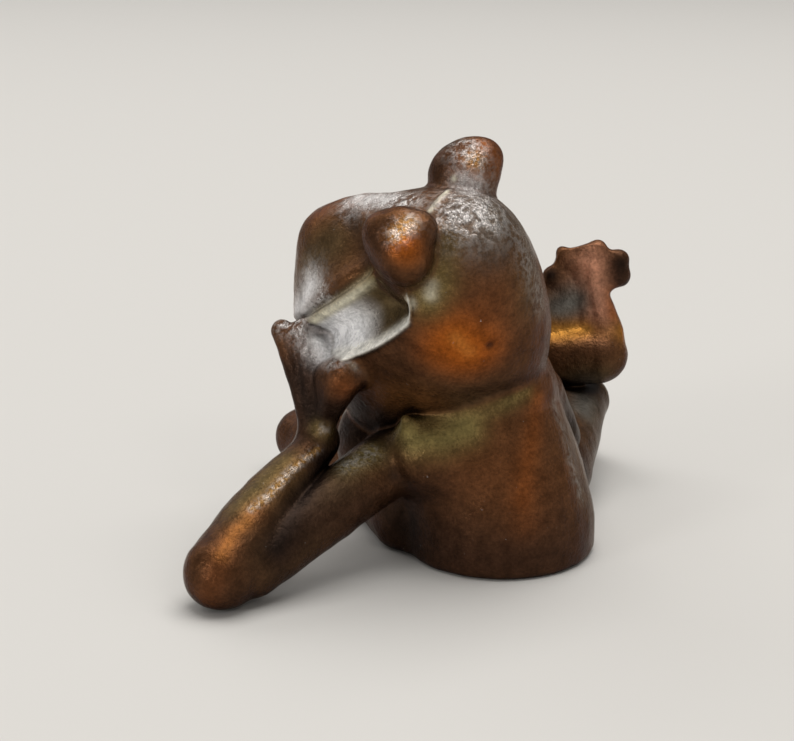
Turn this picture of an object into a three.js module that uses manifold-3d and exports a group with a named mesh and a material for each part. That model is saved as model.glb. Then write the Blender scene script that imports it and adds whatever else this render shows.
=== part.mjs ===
// Cast bronze figurine of a reclining animal that props its cheek on its left hand.
// Lengths are in millimetres and angles in degrees.
// X runs to the viewer's right, Y runs away from the viewer and Z is up.
// The origin is the centre of the flat underside of the trunk.
import * as THREE from "three";
import { mergeVertices } from "three/addons/utils/BufferGeometryUtils.js";
import Module from "manifold-3d";

const wasm = await Module();
wasm.setup();

// Seams: each cast section keeps this gap to its neighbour and holds on by a round peg.
const SEAM_GAP = 0.3;
const PEG_RADIUS = 0.75;
const PEG_LENGTH = 3.4;

// Trunk: a dome that leans to the viewer's left, flat underneath.
const TRUNK_BASE_HALF_WIDTH = 9.3;
const TRUNK_BELLY_HALF_WIDTH = 9.45;
const TRUNK_NECK_HALF_WIDTH = 7.6;
const TRUNK_DEPTH_RATIO = 1.08;
const TRUNK_HEIGHT = 17.5;
const TRUNK_LEAN = 2.5;
const CHEST_RADIUS = 5.4;
const CHEST_REACH = 10.6;
const CHEST_BEHIND_BASE = 2.0;
const SWELL_RADIUS = 3.9;
const SWELL_LEFT_OF_BASE = 7.0;
const SWELL_BEFORE_BASE = 5.9;
const SWELL_ABOVE_SHOULDER = 1.5;

// Head: an egg turned away from the viewer, nose down, rolled onto the left cheek.
const HEAD_HALF_LENGTH = 14.7;
const HEAD_HALF_WIDTH = 9.9;
const HEAD_HALF_HEIGHT = 12.1;
const HEAD_TURN = 129;
const HEAD_PITCH = -28;
const HEAD_ROLL = -33;
const HEAD_ABOVE_TRUNK = 7.1;
const HEAD_LEFT_OF_BASE = 7.3;
const HEAD_BEFORE_BASE = 1.1;

// Head relief: how far the surface rises or dips at a few places.
const SNOUT_RISE = 1.7;
const CROWN_DIP = 1.5;
const CROWN_BACK_RISE = 1.2;
const LIP_HOLLOW = 0.6;
const NAPE_DIP = 1.2;
const THROAT_RISE = 1.0;
const JOWL_RISE = 2.6;

// Mouth: a channel swept round the snout from one corner to the other.
const MOUTH_OPENING = 4.8;
const MOUTH_DEPTH = 2.1;
const MOUTH_HEIGHT_ON_HEAD = 4.6;
const MOUTH_CORNER_BACK = 9.0;

// Eye knobs: plain eggs that point back and outward, each on a short neck at the top of the head's back.
const EYE_HALF_LENGTH = 3.6;
const LEFT_EYE_RADIUS = 3.0;
const RIGHT_EYE_RADIUS = 2.6;
const EYE_NECK_RADIUS = 2.6;
const EYE_BACK = 10.6;
const EYE_ASIDE = 6.2;
const LEFT_EYE_UP = 7.8;
const RIGHT_EYE_UP = 7.45;

// Standing: how deep a round section is flattened where it stands on the table.
const TABLE_FLAT = 0.3;

// Left arm: the elbow stands on the table and the forearm goes up to the cheek.
const SHOULDER_RADIUS = 3.2;
const SHOULDER_SET_IN = 3.85;
const SHOULDER_OUTSIDE_BELLY = 1.45;
const SHOULDER_BEFORE_BASE = 5.0;
const SHOULDER_ABOVE_HIP = 2.0;
const ELBOW_RADIUS = 3.5;
const ELBOW_FOLD = 2.4;
const FOREARM_RADIUS = 3.2;
const CUFF_RADIUS = 2.1;
const WRIST_RADIUS = 1.7;
const ELBOW_LEFT_OF_SHOULDER = 14.9;
const ELBOW_BEFORE_SHOULDER = 11.1;
const WRIST_LEFT_OF_HEAD = 10.1;
const WRIST_BEFORE_HEAD = 4.2;
const WRIST_BELOW_HEAD = 12.3;
const FOREARM_BOW = 0.6;

// Right arm: hangs behind the trunk, with the wrist on the lap.
const RIGHT_SHOULDER_INSIDE_NECK = 4.0;
const RIGHT_SHOULDER_BEHIND_BASE = 4.0;
const RIGHT_ELBOW_INSIDE_FLANK = 1.95;
const RIGHT_ELBOW_INSIDE_BACK = 1.6;
const RIGHT_ELBOW_BELOW_WRIST = 1.6;
const RIGHT_ARM_RADIUS = 2.35;
const RIGHT_WRIST_RADIUS = 1.8;
const RIGHT_WRIST_RIGHT_OF_BASE = 5.4;
const RIGHT_WRIST_BEHIND_BASE = 14.6;

// Hands.
const HAND_LENGTH = 10.0;
const PALM_RADIUS = 1.5;
const RIGHT_PALM_RADIUS = 2.2;
const FINGER_RADIUS = 1.0;

// Legs: the left shin crosses over the right knee and carries the raised foot.
const HIP_RADIUS = 5.0;
const LEFT_KNEE_RADIUS = 3.2;
const RIGHT_KNEE_RADIUS = 2.75;
const LEFT_SHIN_RADIUS = 3.15;
const RIGHT_SHIN_RADIUS = 2.05;
const ANKLE_RADIUS = 1.5;
const HEEL_RADIUS = 3.1;
const LEFT_HIP_BEHIND_BASE = 1.2;
const LEFT_THIGH_BOW = 1.0;
const LEFT_KNEE_LEFT_OF_BASE = 20.1;
const LEFT_KNEE_BEHIND_BASE = 24.0;
const LEFT_KNEE_LIFT = 0.6;
const LEFT_SHIN_ARCH = 1.6;
const LEFT_SHIN_CLEARANCE = 0.05;
const LEFT_HEEL_RIGHT_OF_BASE = 11.9;
const LEFT_HEEL_BEHIND_BASE = 22.6;
const RIGHT_HIP_INSIDE_BACK = 0.6;
const RIGHT_KNEE_RIGHT_OF_BASE = 10.6;
const RIGHT_KNEE_BEHIND_BASE = 25.4;
const RIGHT_KNEE_LIFT = 2.1;
const RIGHT_ANKLE_RIGHT_OF_BASE = 10.6;
const RIGHT_ANKLE_BEHIND_BASE = 29.4;
const RIGHT_ANKLE_LIFT = 0.2;

// Feet: five short toes with round pads and a web between them.
const SOLE_RADIUS = 2.0;
const TOE_RADIUS = 0.8;
const TOE_PAD_RADIUS = 1.2;
const WEB_THICKNESS = 0.8;
const FOOT_LENGTH = 8.6;
const RAISED_FOOT_ABOVE_HEEL = 0.4;
const RAISED_FOOT_BEHIND_HEEL = 0.2;
const RAISED_FOOT_TILT = 7;
const RESTING_FOOT_AHEAD_OF_ANKLE = 2.1;
const RESTING_FOOT_BELOW_ANKLE = 0.4;
const RESTING_FOOT_TURN = 30;

const HEAD_SIDES = 30;
const HEAD_RINGS = 18;
const LIMB_SIDES = 12;
const LIMB_RINGS = 8;
const FINGER_SIDES = 8;
const FINGER_RINGS = 5;
const CAP_STEPS = 3;
const TABLE_MARGIN = 80;

const V = (x, y, z) => new THREE.Vector3(x, y, z);
const radians = THREE.MathUtils.degToRad;

// Turns a three.js geometry into a solid that can be joined and cut.
function solid(geometry) {
  const bare = new THREE.BufferGeometry();
  bare.setAttribute("position", geometry.getAttribute("position"));
  if (geometry.index) {
    bare.setIndex(geometry.index);
  }
  const merged = mergeVertices(bare, 1e-4);
  return new wasm.Manifold(
    new wasm.Mesh({
      numProp: 3,
      vertProperties: merged.attributes.position.array,
      triVerts: new Uint32Array(merged.index.array),
    }),
  );
}

// Joins solids one after the other.
function join(first, ...others) {
  return others.reduce((whole, next) => whole.add(next), first);
}

// Cuts each of the other solids out of the first.
function cut(first, ...others) {
  return others.reduce((whole, next) => whole.subtract(next), first);
}

// A limb is a loft: oval rings follow a smooth line through the stops, with a rounded cap at each end.
// Each stop has a place, a half width along the side direction and a half height across it.
function limb(stops, { sides = LIMB_SIDES, rings = LIMB_RINGS, side = V(0, 0, 1), grow = 0 } = {}) {
  const line = new THREE.CatmullRomCurve3(stops.map((stop) => stop[0]));
  const sizes = new THREE.CatmullRomCurve3(
    stops.map((stop) => V(stop[1] + grow, (stop[2] ?? stop[1]) + grow, 0)),
  );
  const points = [];
  const addRing = (centre, tangent, halfWidth, halfHeight) => {
    const across = side.clone().addScaledVector(tangent, -side.dot(tangent)).normalize();
    const upward = tangent.clone().cross(across);
    for (let j = 0; j < sides; j++) {
      const angle = (2 * Math.PI * j) / sides;
      const point = centre.clone();
      point.addScaledVector(across, halfWidth * Math.cos(angle));
      point.addScaledVector(upward, halfHeight * Math.sin(angle));
      points.push(point);
    }
  };
  const addCap = (t, sign, order) => {
    const centre = line.getPoint(t);
    const tangent = line.getTangent(t);
    const size = sizes.getPoint(t);
    const reach = Math.min(size.x, size.y);
    for (const step of order) {
      const angle = (step / CAP_STEPS) * (Math.PI / 2);
      const place = centre.clone().addScaledVector(tangent, sign * reach * Math.sin(angle));
      addRing(place, tangent, size.x * Math.cos(angle), size.y * Math.cos(angle));
    }
    return centre.addScaledVector(tangent, sign * reach);
  };
  const steps = Array.from({ length: CAP_STEPS - 1 }, (unused, i) => i + 1);
  const firstPole = addCap(0, -1, [...steps].reverse());
  for (let i = 0; i <= rings; i++) {
    const t = i / rings;
    const size = sizes.getPoint(t);
    addRing(line.getPoint(t), line.getTangent(t), size.x, size.y);
  }
  const lastPole = addCap(1, 1, steps);
  const ringCount = points.length / sides;
  const index = [];
  for (let i = 0; i < ringCount - 1; i++) {
    for (let j = 0; j < sides; j++) {
      const next = (j + 1) % sides;
      const a = i * sides + j;
      const b = i * sides + next;
      const c = (i + 1) * sides + next;
      const d = (i + 1) * sides + j;
      index.push(a, b, c, a, c, d);
    }
  }
  const start = points.length;
  const end = start + 1;
  points.push(firstPole, lastPole);
  for (let j = 0; j < sides; j++) {
    const next = (j + 1) % sides;
    const last = (ringCount - 1) * sides;
    index.push(start, next, j);
    index.push(end, last + j, last + next);
  }
  return new THREE.BufferGeometry().setFromPoints(points).setIndex(index);
}

// A round peg that joins two sections, centred on the seam between them.
function peg(middle, direction, grow = 0) {
  const rod = new THREE.CylinderGeometry(
    PEG_RADIUS + grow,
    PEG_RADIUS + grow,
    PEG_LENGTH + 2 * grow,
    12,
  );
  const turn = new THREE.Quaternion().setFromUnitVectors(V(0, 1, 0), direction.clone().normalize());
  rod.applyQuaternion(turn);
  rod.translate(middle.x, middle.y, middle.z);
  return solid(rod);
}

// Everything below the table top, cut away from each section that stands on it.
const belowTable = new THREE.BoxGeometry(2 * TABLE_MARGIN, 2 * TABLE_MARGIN, TABLE_MARGIN);
belowTable.translate(0, 0, -TABLE_MARGIN / 2);
const table = solid(belowTable);

// Trunk: oval level rings, widest at the belly, leaning over toward the neck.
// The chest swells out under the chin, and a round mass stands before the left shoulder.
function trunkShape(grow = 0) {
  const outline = [
    [0, TRUNK_BASE_HALF_WIDTH, 0],
    [0.2, TRUNK_BELLY_HALF_WIDTH, 0.04],
    [0.42, THREE.MathUtils.lerp(TRUNK_BELLY_HALF_WIDTH, TRUNK_NECK_HALF_WIDTH, 0.19), 0.26],
    [0.66, THREE.MathUtils.lerp(TRUNK_BELLY_HALF_WIDTH, TRUNK_NECK_HALF_WIDTH, 0.54), 0.54],
    [0.88, TRUNK_NECK_HALF_WIDTH, 0.8],
  ];
  const stops = outline.map(([level, halfWidth, lean]) => [
    V(-TRUNK_LEAN * lean, 0, level * TRUNK_HEIGHT),
    halfWidth,
    halfWidth * TRUNK_DEPTH_RATIO,
  ]);
  const chest = [
    [V(-TRUNK_LEAN, 0, TRUNK_HEIGHT * 0.45), CHEST_RADIUS],
    [V(-CHEST_REACH, CHEST_BEHIND_BASE, TRUNK_HEIGHT * 0.57), CHEST_RADIUS],
  ];
  const swellTop = V(-SWELL_LEFT_OF_BASE, -SWELL_BEFORE_BASE, leftShoulder.z + SWELL_ABOVE_SHOULDER);
  const swell = [
    [swellTop.clone().multiply(V(0.5, 0.6, 0.84)), SWELL_RADIUS * 0.9],
    [swellTop, SWELL_RADIUS],
  ];
  return join(
    solid(limb(stops, { sides: 28, rings: 10, side: V(1, 0, 0), grow })),
    solid(limb(chest, { rings: 3, grow })),
    solid(limb(swell, { sides: 16, rings: 3, grow })),
  );
}

// Head axes: forward along the snout, to the animal's own left, and up through the crown.
const headCentre = V(-HEAD_LEFT_OF_BASE, -HEAD_BEFORE_BASE, TRUNK_HEIGHT + HEAD_ABOVE_TRUNK);
const headForward = V(
  Math.cos(radians(HEAD_PITCH)) * Math.cos(radians(HEAD_TURN)),
  Math.cos(radians(HEAD_PITCH)) * Math.sin(radians(HEAD_TURN)),
  Math.sin(radians(HEAD_PITCH)),
);
const levelLeft = V(0, 0, 1).cross(headForward).normalize();
const levelUp = headForward.clone().cross(levelLeft);
const headLeft = levelLeft
  .clone()
  .multiplyScalar(Math.cos(radians(HEAD_ROLL)))
  .addScaledVector(levelUp, Math.sin(radians(HEAD_ROLL)));
const headUp = headForward.clone().cross(headLeft);

// A place on or in the head from its own three distances.
function onHead(forward, left, up) {
  return headCentre
    .clone()
    .addScaledVector(headForward, forward)
    .addScaledVector(headLeft, left)
    .addScaledVector(headUp, up);
}

// Swells and dips of the head, each about one direction and fading out round it.
const HEAD_RELIEF = [
  { way: V(0.28, 0, 0.96), spread: 0.06, rise: SNOUT_RISE },
  { way: V(-0.4, 0.38, 0.84), spread: 0.05, rise: -CROWN_DIP },
  { way: V(-0.4, -0.38, 0.84), spread: 0.05, rise: -CROWN_DIP },
  { way: V(-0.95, 0, 0.3), spread: 0.05, rise: CROWN_BACK_RISE },
  { way: V(0.09, 0.45, 0.89), spread: 0.045, rise: -LIP_HOLLOW },
  { way: V(0.09, -0.45, 0.89), spread: 0.045, rise: -LIP_HOLLOW },
  { way: V(-0.85, 0.3, -0.35), spread: 0.12, rise: -NAPE_DIP },
  { way: V(-0.85, -0.3, -0.35), spread: 0.12, rise: -NAPE_DIP },
  { way: V(-0.2, 0, -0.98), spread: 0.05, rise: THROAT_RISE },
  { way: V(0.62, 0.58, -0.53), spread: 0.06, rise: JOWL_RISE },
  { way: V(0.62, -0.58, -0.53), spread: 0.06, rise: JOWL_RISE },
];

// Head: a ball drawn out to three half sizes, then raised or lowered by its relief.
function headShape(grow = 0) {
  const ball = new THREE.SphereGeometry(1, HEAD_SIDES, HEAD_RINGS);
  const place = ball.getAttribute("position");
  const halfSizes = V(HEAD_HALF_LENGTH, HEAD_HALF_WIDTH, HEAD_HALF_HEIGHT);
  for (let i = 0; i < place.count; i++) {
    const way = V(place.getX(i), place.getY(i), place.getZ(i)).normalize();
    let reach = 1 / way.clone().divide(halfSizes).length();
    for (const swell of HEAD_RELIEF) {
      const off = 1 - way.dot(swell.way.clone().normalize());
      reach += swell.rise * Math.exp(-off / swell.spread);
    }
    reach += grow;
    const point = onHead(way.x * reach, way.y * reach, way.z * reach);
    place.setXYZ(i, point.x, point.y, point.z);
  }
  return solid(ball);
}

// Mouth channel: follows the side of the head at one height, round the snout, deepest at the sides.
function mouthShape() {
  const stops = [];
  const rowShare = Math.sqrt(1 - (MOUTH_HEIGHT_ON_HEAD / HEAD_HALF_HEIGHT) ** 2);
  const cornerTurn = Math.acos(-MOUTH_CORNER_BACK / (HEAD_HALF_LENGTH * rowShare));
  for (let i = 0; i <= 12; i++) {
    const share = i / 6 - 1;
    const turn = share * cornerTurn;
    const narrow = Math.sqrt(Math.max(1 - Math.abs(share) ** 6, 0.08));
    const place = onHead(
      HEAD_HALF_LENGTH * rowShare * Math.cos(turn),
      HEAD_HALF_WIDTH * rowShare * Math.sin(turn),
      MOUTH_HEIGHT_ON_HEAD,
    );
    stops.push([place, (MOUTH_OPENING / 2) * narrow, MOUTH_DEPTH]);
  }
  return solid(limb(stops, { sides: 12, rings: 22, side: headUp }));
}

// The two eye knobs: which side of the head, how high and how thick.
const leftEyeSet = { side: 1, up: LEFT_EYE_UP, radius: LEFT_EYE_RADIUS };
const rightEyeSet = { side: -1, up: RIGHT_EYE_UP, radius: RIGHT_EYE_RADIUS };
const eyeCentre = ({ side, up }) => onHead(-EYE_BACK, side * EYE_ASIDE, up);

// Eye knob: a short neck out of the head that carries an egg.
function eyeShape(eye) {
  const centre = eyeCentre(eye);
  const root = centre.clone().lerp(headCentre, 0.34);
  const neck = limb(
    [
      [root, EYE_NECK_RADIUS],
      [root.clone().lerp(centre, 0.8), EYE_NECK_RADIUS],
    ],
    { rings: 3 },
  );
  const egg = new THREE.SphereGeometry(1, 18, 12);
  egg.scale(eye.radius, EYE_HALF_LENGTH, eye.radius);
  const along = onHead(-0.71, eye.side * 0.66, -0.23).sub(headCentre).normalize();
  egg.applyQuaternion(new THREE.Quaternion().setFromUnitVectors(V(0, 1, 0), along));
  egg.translate(centre.x, centre.y, centre.z);
  return join(solid(neck), solid(egg));
}

// Hip places, which carry the arms' heights too.
const leftHip = V(-TRUNK_BASE_HALF_WIDTH * 0.82, LEFT_HIP_BEHIND_BASE, HIP_RADIUS * 0.56);
const trunkBack = TRUNK_BELLY_HALF_WIDTH * TRUNK_DEPTH_RATIO;
const rightHip = V(TRUNK_BASE_HALF_WIDTH * 0.5, trunkBack - RIGHT_HIP_INSIDE_BACK, HIP_RADIUS * 0.62);

// Joint places of the left arm.
const leftShoulder = V(
  -TRUNK_BELLY_HALF_WIDTH - SHOULDER_OUTSIDE_BELLY,
  -SHOULDER_BEFORE_BASE,
  leftHip.z + HIP_RADIUS + SHOULDER_ABOVE_HIP,
);
const armRoot = leftShoulder.clone().addScaledVector(V(0.88, 0.47, 0), SHOULDER_SET_IN);
const leftElbow = V(
  leftShoulder.x - ELBOW_LEFT_OF_SHOULDER,
  leftShoulder.y - ELBOW_BEFORE_SHOULDER,
  ELBOW_RADIUS - TABLE_FLAT,
);
const upperArmEnd = leftElbow.clone().addScaledVector(V(1, 0.6, 0), ELBOW_FOLD);
const leftWrist = headCentre
  .clone()
  .add(V(-WRIST_LEFT_OF_HEAD, -WRIST_BEFORE_HEAD, -WRIST_BELOW_HEAD));

// Joint places of the right arm.
const rightShoulder = V(
  TRUNK_NECK_HALF_WIDTH - RIGHT_SHOULDER_INSIDE_NECK,
  RIGHT_SHOULDER_BEHIND_BASE,
  TRUNK_HEIGHT * 0.83,
);
const rightElbow = V(
  (TRUNK_BASE_HALF_WIDTH + TRUNK_BELLY_HALF_WIDTH) / 2 - RIGHT_ELBOW_INSIDE_FLANK,
  trunkBack - RIGHT_ELBOW_INSIDE_BACK,
  2 * HIP_RADIUS - RIGHT_ELBOW_BELOW_WRIST,
);
const rightWrist = V(RIGHT_WRIST_RIGHT_OF_BASE, RIGHT_WRIST_BEHIND_BASE, 2 * HIP_RADIUS);

// Joint places of the legs.
const leftKnee = V(-LEFT_KNEE_LEFT_OF_BASE, LEFT_KNEE_BEHIND_BASE, LEFT_KNEE_RADIUS + LEFT_KNEE_LIFT);
const rightKnee = V(
  RIGHT_KNEE_RIGHT_OF_BASE,
  RIGHT_KNEE_BEHIND_BASE,
  2 * RIGHT_KNEE_RADIUS + RIGHT_KNEE_LIFT,
);
const leftHeel = V(
  LEFT_HEEL_RIGHT_OF_BASE,
  LEFT_HEEL_BEHIND_BASE,
  rightKnee.z + RIGHT_KNEE_RADIUS + LEFT_SHIN_RADIUS + LEFT_SHIN_CLEARANCE,
);
const rightAnkle = V(
  RIGHT_ANKLE_RIGHT_OF_BASE,
  RIGHT_ANKLE_BEHIND_BASE,
  ANKLE_RADIUS + RIGHT_ANKLE_LIFT,
);

// Left arm: the upper arm runs down to the elbow and the forearm doubles back up to the wrist.
function leftArmShape(grow = 0) {
  const upper = limb(
    [
      [armRoot, SHOULDER_RADIUS],
      [leftShoulder, SHOULDER_RADIUS],
      [leftShoulder.clone().lerp(upperArmEnd, 0.5), SHOULDER_RADIUS * 0.95],
      [upperArmEnd, ELBOW_RADIUS * 0.86],
    ],
    { rings: 10, grow },
  );
  const fore = limb(
    [
      [leftElbow, ELBOW_RADIUS],
      [leftElbow.clone().lerp(leftWrist, 0.42).addScaledVector(V(0, 1, 0), FOREARM_BOW), FOREARM_RADIUS],
      [leftElbow.clone().lerp(leftWrist, 0.85), CUFF_RADIUS],
      [leftWrist, WRIST_RADIUS],
    ],
    { grow },
  );
  return join(solid(upper), solid(fore));
}

// One finger through three places, each with its thickness as a share of the finger radius.
function finger(places, thick, grow) {
  const stops = places.map((place, i) => [place, FINGER_RADIUS * thick[i]]);
  return solid(limb(stops, { sides: FINGER_SIDES, rings: FINGER_RINGS, grow }));
}

// Left hand: each digit goes through three places, in shares of the hand's length from the wrist.
const FINGER_THICK = [0.85, 0.95, 1.1];
const LEFT_DIGITS = [
  { places: [V(-0.1, -0.03, 0.19), V(-0.21, 0.09, 0.65), V(-0.34, 0.28, 1.0)], thick: FINGER_THICK },
  { places: [V(-0.03, -0.06, 0.19), V(-0.08, 0.03, 0.65), V(-0.18, 0.23, 1.0)], thick: FINGER_THICK },
  { places: [V(0.05, -0.06, 0.21), V(0.04, -0.01, 0.57), V(-0.02, 0.18, 0.86)], thick: FINGER_THICK },
  { places: [V(0.08, -0.07, 0.25), V(0.17, -0.15, 0.5), V(0.24, -0.17, 0.65)], thick: [0.95, 1.6, 1.75] },
];

// The palm and the four digits cup the cheek from below.
function leftHandShape(grow = 0) {
  const fromWrist = (share) => leftWrist.clone().addScaledVector(share, HAND_LENGTH);
  const palm = limb(
    [
      [leftWrist, PALM_RADIUS],
      [fromWrist(V(-0.01, 0, 0.19)), PALM_RADIUS * 0.94],
      [fromWrist(V(-0.03, 0.05, 0.41)), PALM_RADIUS * 1.08],
      [fromWrist(V(0.01, 0.09, 0.57)), PALM_RADIUS * 1.06],
    ],
    { rings: 6, side: V(1, 0, 0), grow },
  );
  const digits = LEFT_DIGITS.map(({ places, thick }) => finger(places.map(fromWrist), thick, grow));
  return join(solid(palm), ...digits);
}

// Right arm: hangs behind the trunk's right side, with the hand laid on the lap.
function rightArmShape(grow = 0) {
  return solid(
    limb(
      [
        [rightShoulder, SHOULDER_RADIUS * 0.9],
        [rightShoulder.clone().lerp(rightElbow, 0.55), RIGHT_ARM_RADIUS * 0.95],
        [rightElbow, RIGHT_ARM_RADIUS],
        [rightElbow.clone().lerp(rightWrist, 0.55), RIGHT_ARM_RADIUS * 0.85],
        [rightWrist, RIGHT_WRIST_RADIUS],
      ],
      { rings: 18, grow },
    ),
  );
}

// Right hand: palm down on the lap, with its four digits spread and bent over the thigh.
function rightHandShape(grow = 0) {
  const reach = rightWrist.clone().addScaledVector(V(-0.04, 0.26, 0.01), HAND_LENGTH);
  const fromReach = (x, y, z) => reach.clone().addScaledVector(V(x, y, z), HAND_LENGTH);
  const palm = limb(
    [
      [rightWrist, RIGHT_WRIST_RADIUS],
      [reach, RIGHT_PALM_RADIUS, RIGHT_PALM_RADIUS * 0.85],
    ],
    { rings: 5, side: V(1, 0, 0), grow },
  );
  const digits = [-0.21, -0.07, 0.07, 0.21].map((spread) =>
    finger(
      [
        fromReach(spread * 0.7, 0.04, 0),
        fromReach(spread * 1.1, 0.19, -0.03),
        fromReach(spread * 1.4, 0.32, -0.12),
      ],
      FINGER_THICK,
      grow,
    ),
  );
  return join(solid(palm), ...digits);
}

// Thigh: from the hip at the side of the trunk out to the knee, bowed by the given amount.
function thighShape(hip, knee, kneeRadius, bow, grow = 0) {
  return solid(
    limb(
      [
        [hip, HIP_RADIUS],
        [hip.clone().lerp(knee, 0.34).add(V(bow, 0, 0)), HIP_RADIUS * 0.7 + kneeRadius * 0.3],
        [knee, kneeRadius],
      ],
      { grow },
    ),
  );
}

const leftThighShape = (grow) => thighShape(leftHip, leftKnee, LEFT_KNEE_RADIUS, LEFT_THIGH_BOW, grow);
const rightThighShape = (grow) => thighShape(rightHip, rightKnee, RIGHT_KNEE_RADIUS, 0, grow);

// Left shin: rises from the knee behind the trunk, crosses over the right knee and ends in the heel.
function leftShinShape(grow = 0) {
  const shinLine = (share) => leftKnee.clone().lerp(leftHeel, share);
  return solid(
    limb(
      [
        [leftKnee, LEFT_KNEE_RADIUS * 0.9],
        [shinLine(0.4).addScaledVector(V(0, 1, 1), LEFT_SHIN_ARCH), LEFT_SHIN_RADIUS],
        [shinLine(0.78).addScaledVector(V(0, 0.5, 0.75), LEFT_SHIN_ARCH), LEFT_SHIN_RADIUS],
        [leftHeel, HEEL_RADIUS],
      ],
      { rings: 16, grow },
    ),
  );
}

// Right shin: goes down from the knee to the ankle behind it.
function rightShinShape(grow = 0) {
  return solid(
    limb(
      [
        [rightKnee, RIGHT_KNEE_RADIUS * 0.9],
        [rightKnee.clone().lerp(rightAnkle, 0.5), RIGHT_SHIN_RADIUS],
        [rightAnkle, ANKLE_RADIUS],
      ],
      { grow },
    ),
  );
}

// Foot: places across and ahead as shares of the foot's length, and thicknesses as shares of the radii.
const SOLE_LINE = [
  { aside: 0.07, ahead: -0.12, thick: 1.0 },
  { aside: -0.06, ahead: 0.35, thick: 0.78 },
  { aside: -0.12, ahead: 0.67, thick: 0.8 },
  { aside: -0.1, ahead: 0.84, thick: 0.6 },
];
const TOES = [
  { root: [-0.23, 0.41], tip: [-0.62, 0.65], thick: 0.9, pad: 0.83 },
  { root: [-0.2, 0.56], tip: [-0.5, 0.9], thick: 0.75, pad: 0.42 },
  { root: [-0.12, 0.76], tip: [-0.08, 1.0], thick: 1.0, pad: 0.62 },
  { root: [-0.05, 0.63], tip: [0.14, 0.9], thick: 1.0, pad: 0.79 },
  { root: [0, 0.49], tip: [0.22, 0.62], thick: 1.0, pad: 1.0 },
];
const WEB_ROOT = [-0.09, 0.29];
const HEEL_WEB = [
  [-0.12, -0.23],
  [-0.65, -0.19],
];

// The sole, the toes out of its sides and end, and a flat web from tip to tip, all in one plane.
function footShape(base, across, ahead, webFoot, grow = 0) {
  const normal = across.clone().cross(ahead).normalize();
  const inPlane = (aside, forward) =>
    base
      .clone()
      .addScaledVector(across, aside * FOOT_LENGTH)
      .addScaledVector(ahead, forward * FOOT_LENGTH);
  const sole = limb(
    SOLE_LINE.map((stop) => [inPlane(stop.aside, stop.ahead), SOLE_RADIUS * stop.thick]),
    { rings: 8, side: across, grow },
  );
  const toes = TOES.map(({ root, tip, thick, pad }) =>
    solid(
      limb(
        [
          [inPlane(...root), TOE_RADIUS * thick],
          [inPlane(...tip), TOE_PAD_RADIUS * pad],
        ],
        { sides: FINGER_SIDES, rings: 3, side: normal, grow },
      ),
    ),
  );
  const outline = new THREE.Shape(
    [WEB_ROOT, ...webFoot, ...TOES.map((toe) => toe.tip)].map(
      ([aside, forward]) => new THREE.Vector2(aside * FOOT_LENGTH, forward * FOOT_LENGTH),
    ),
  );
  const sheet = new THREE.ExtrudeGeometry(outline, {
    depth: WEB_THICKNESS + 2 * grow,
    bevelEnabled: false,
  });
  sheet.translate(0, 0, -WEB_THICKNESS / 2 - grow);
  sheet.applyMatrix4(new THREE.Matrix4().makeBasis(across, ahead, normal).setPosition(base));
  return join(solid(sole), ...toes, solid(sheet));
}

// The raised foot stands on the left heel, and the resting foot lies flat past the right ankle.
const raisedAcross = V(1, 0, 0);
const raisedAhead = V(0, Math.sin(radians(RAISED_FOOT_TILT)), Math.cos(radians(RAISED_FOOT_TILT)));
const raisedFootBase = leftHeel
  .clone()
  .add(V(0, RAISED_FOOT_BEHIND_HEEL, HEEL_RADIUS + RAISED_FOOT_ABOVE_HEEL));
const restingTurn = radians(RESTING_FOOT_TURN);
const restingAhead = V(-Math.sin(restingTurn), Math.cos(restingTurn), 0);
const restingAcross = V(Math.cos(restingTurn), Math.sin(restingTurn), 0);
const restingFootBase = rightAnkle
  .clone()
  .addScaledVector(restingAhead, RESTING_FOOT_AHEAD_OF_ANKLE)
  .sub(V(0, 0, RESTING_FOOT_BELOW_ANKLE));

// Pegs across the seams, each from one section into the next.
const eyePeg = (eye, grow) =>
  peg(headCentre.clone().lerp(eyeCentre(eye), 0.87), eyeCentre(eye).sub(headCentre), grow);
const neckPlace = onHead(-HEAD_HALF_LENGTH * 0.08, -HEAD_HALF_WIDTH * 0.16, -HEAD_HALF_HEIGHT * 1.06);
const neckPeg = (grow) => peg(neckPlace, headUp, grow);
const leftShoulderPeg = (grow) =>
  peg(leftShoulder, armRoot.clone().sub(leftShoulder), grow);
const rightUpperArm = rightShoulder.clone().lerp(rightElbow, 0.74);
const rightShoulderWay = V(rightUpperArm.x, rightUpperArm.y, 0);
const rightShoulderPeg = (grow) =>
  peg(rightUpperArm.clone().addScaledVector(rightShoulderWay, -0.14), rightShoulderWay, grow);
const leftPalmWay = V(0.05, 0.1, 1).normalize();
const leftWristPeg = (grow) =>
  peg(leftWrist.clone().addScaledVector(leftPalmWay, WRIST_RADIUS), leftPalmWay, grow);
const rightPalmWay = V(-0.15, 1, 0.04).normalize();
const rightWristPeg = (grow) =>
  peg(rightWrist.clone().addScaledVector(rightPalmWay, RIGHT_WRIST_RADIUS), rightPalmWay, grow);
const leftHipPlace = V(-TRUNK_BELLY_HALF_WIDTH, TRUNK_BELLY_HALF_WIDTH * 0.2, HIP_RADIUS * 0.8);
const leftHipPeg = (grow) => peg(leftHipPlace, V(-1, 0.2, 0), grow);
const rightHipPlace = V(rightHip.x, trunkBack * 0.9, rightHip.z);
const rightHipPeg = (grow) => peg(rightHipPlace, V(0.2, 1, 0), grow);
const kneePeg = (knee, kneeRadius, end, grow) => {
  const way = end.clone().sub(knee).normalize();
  return peg(knee.clone().addScaledVector(way, kneeRadius), way, grow);
};
const leftKneePeg = (grow) => kneePeg(leftKnee, LEFT_KNEE_RADIUS, leftHeel, grow);
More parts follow.
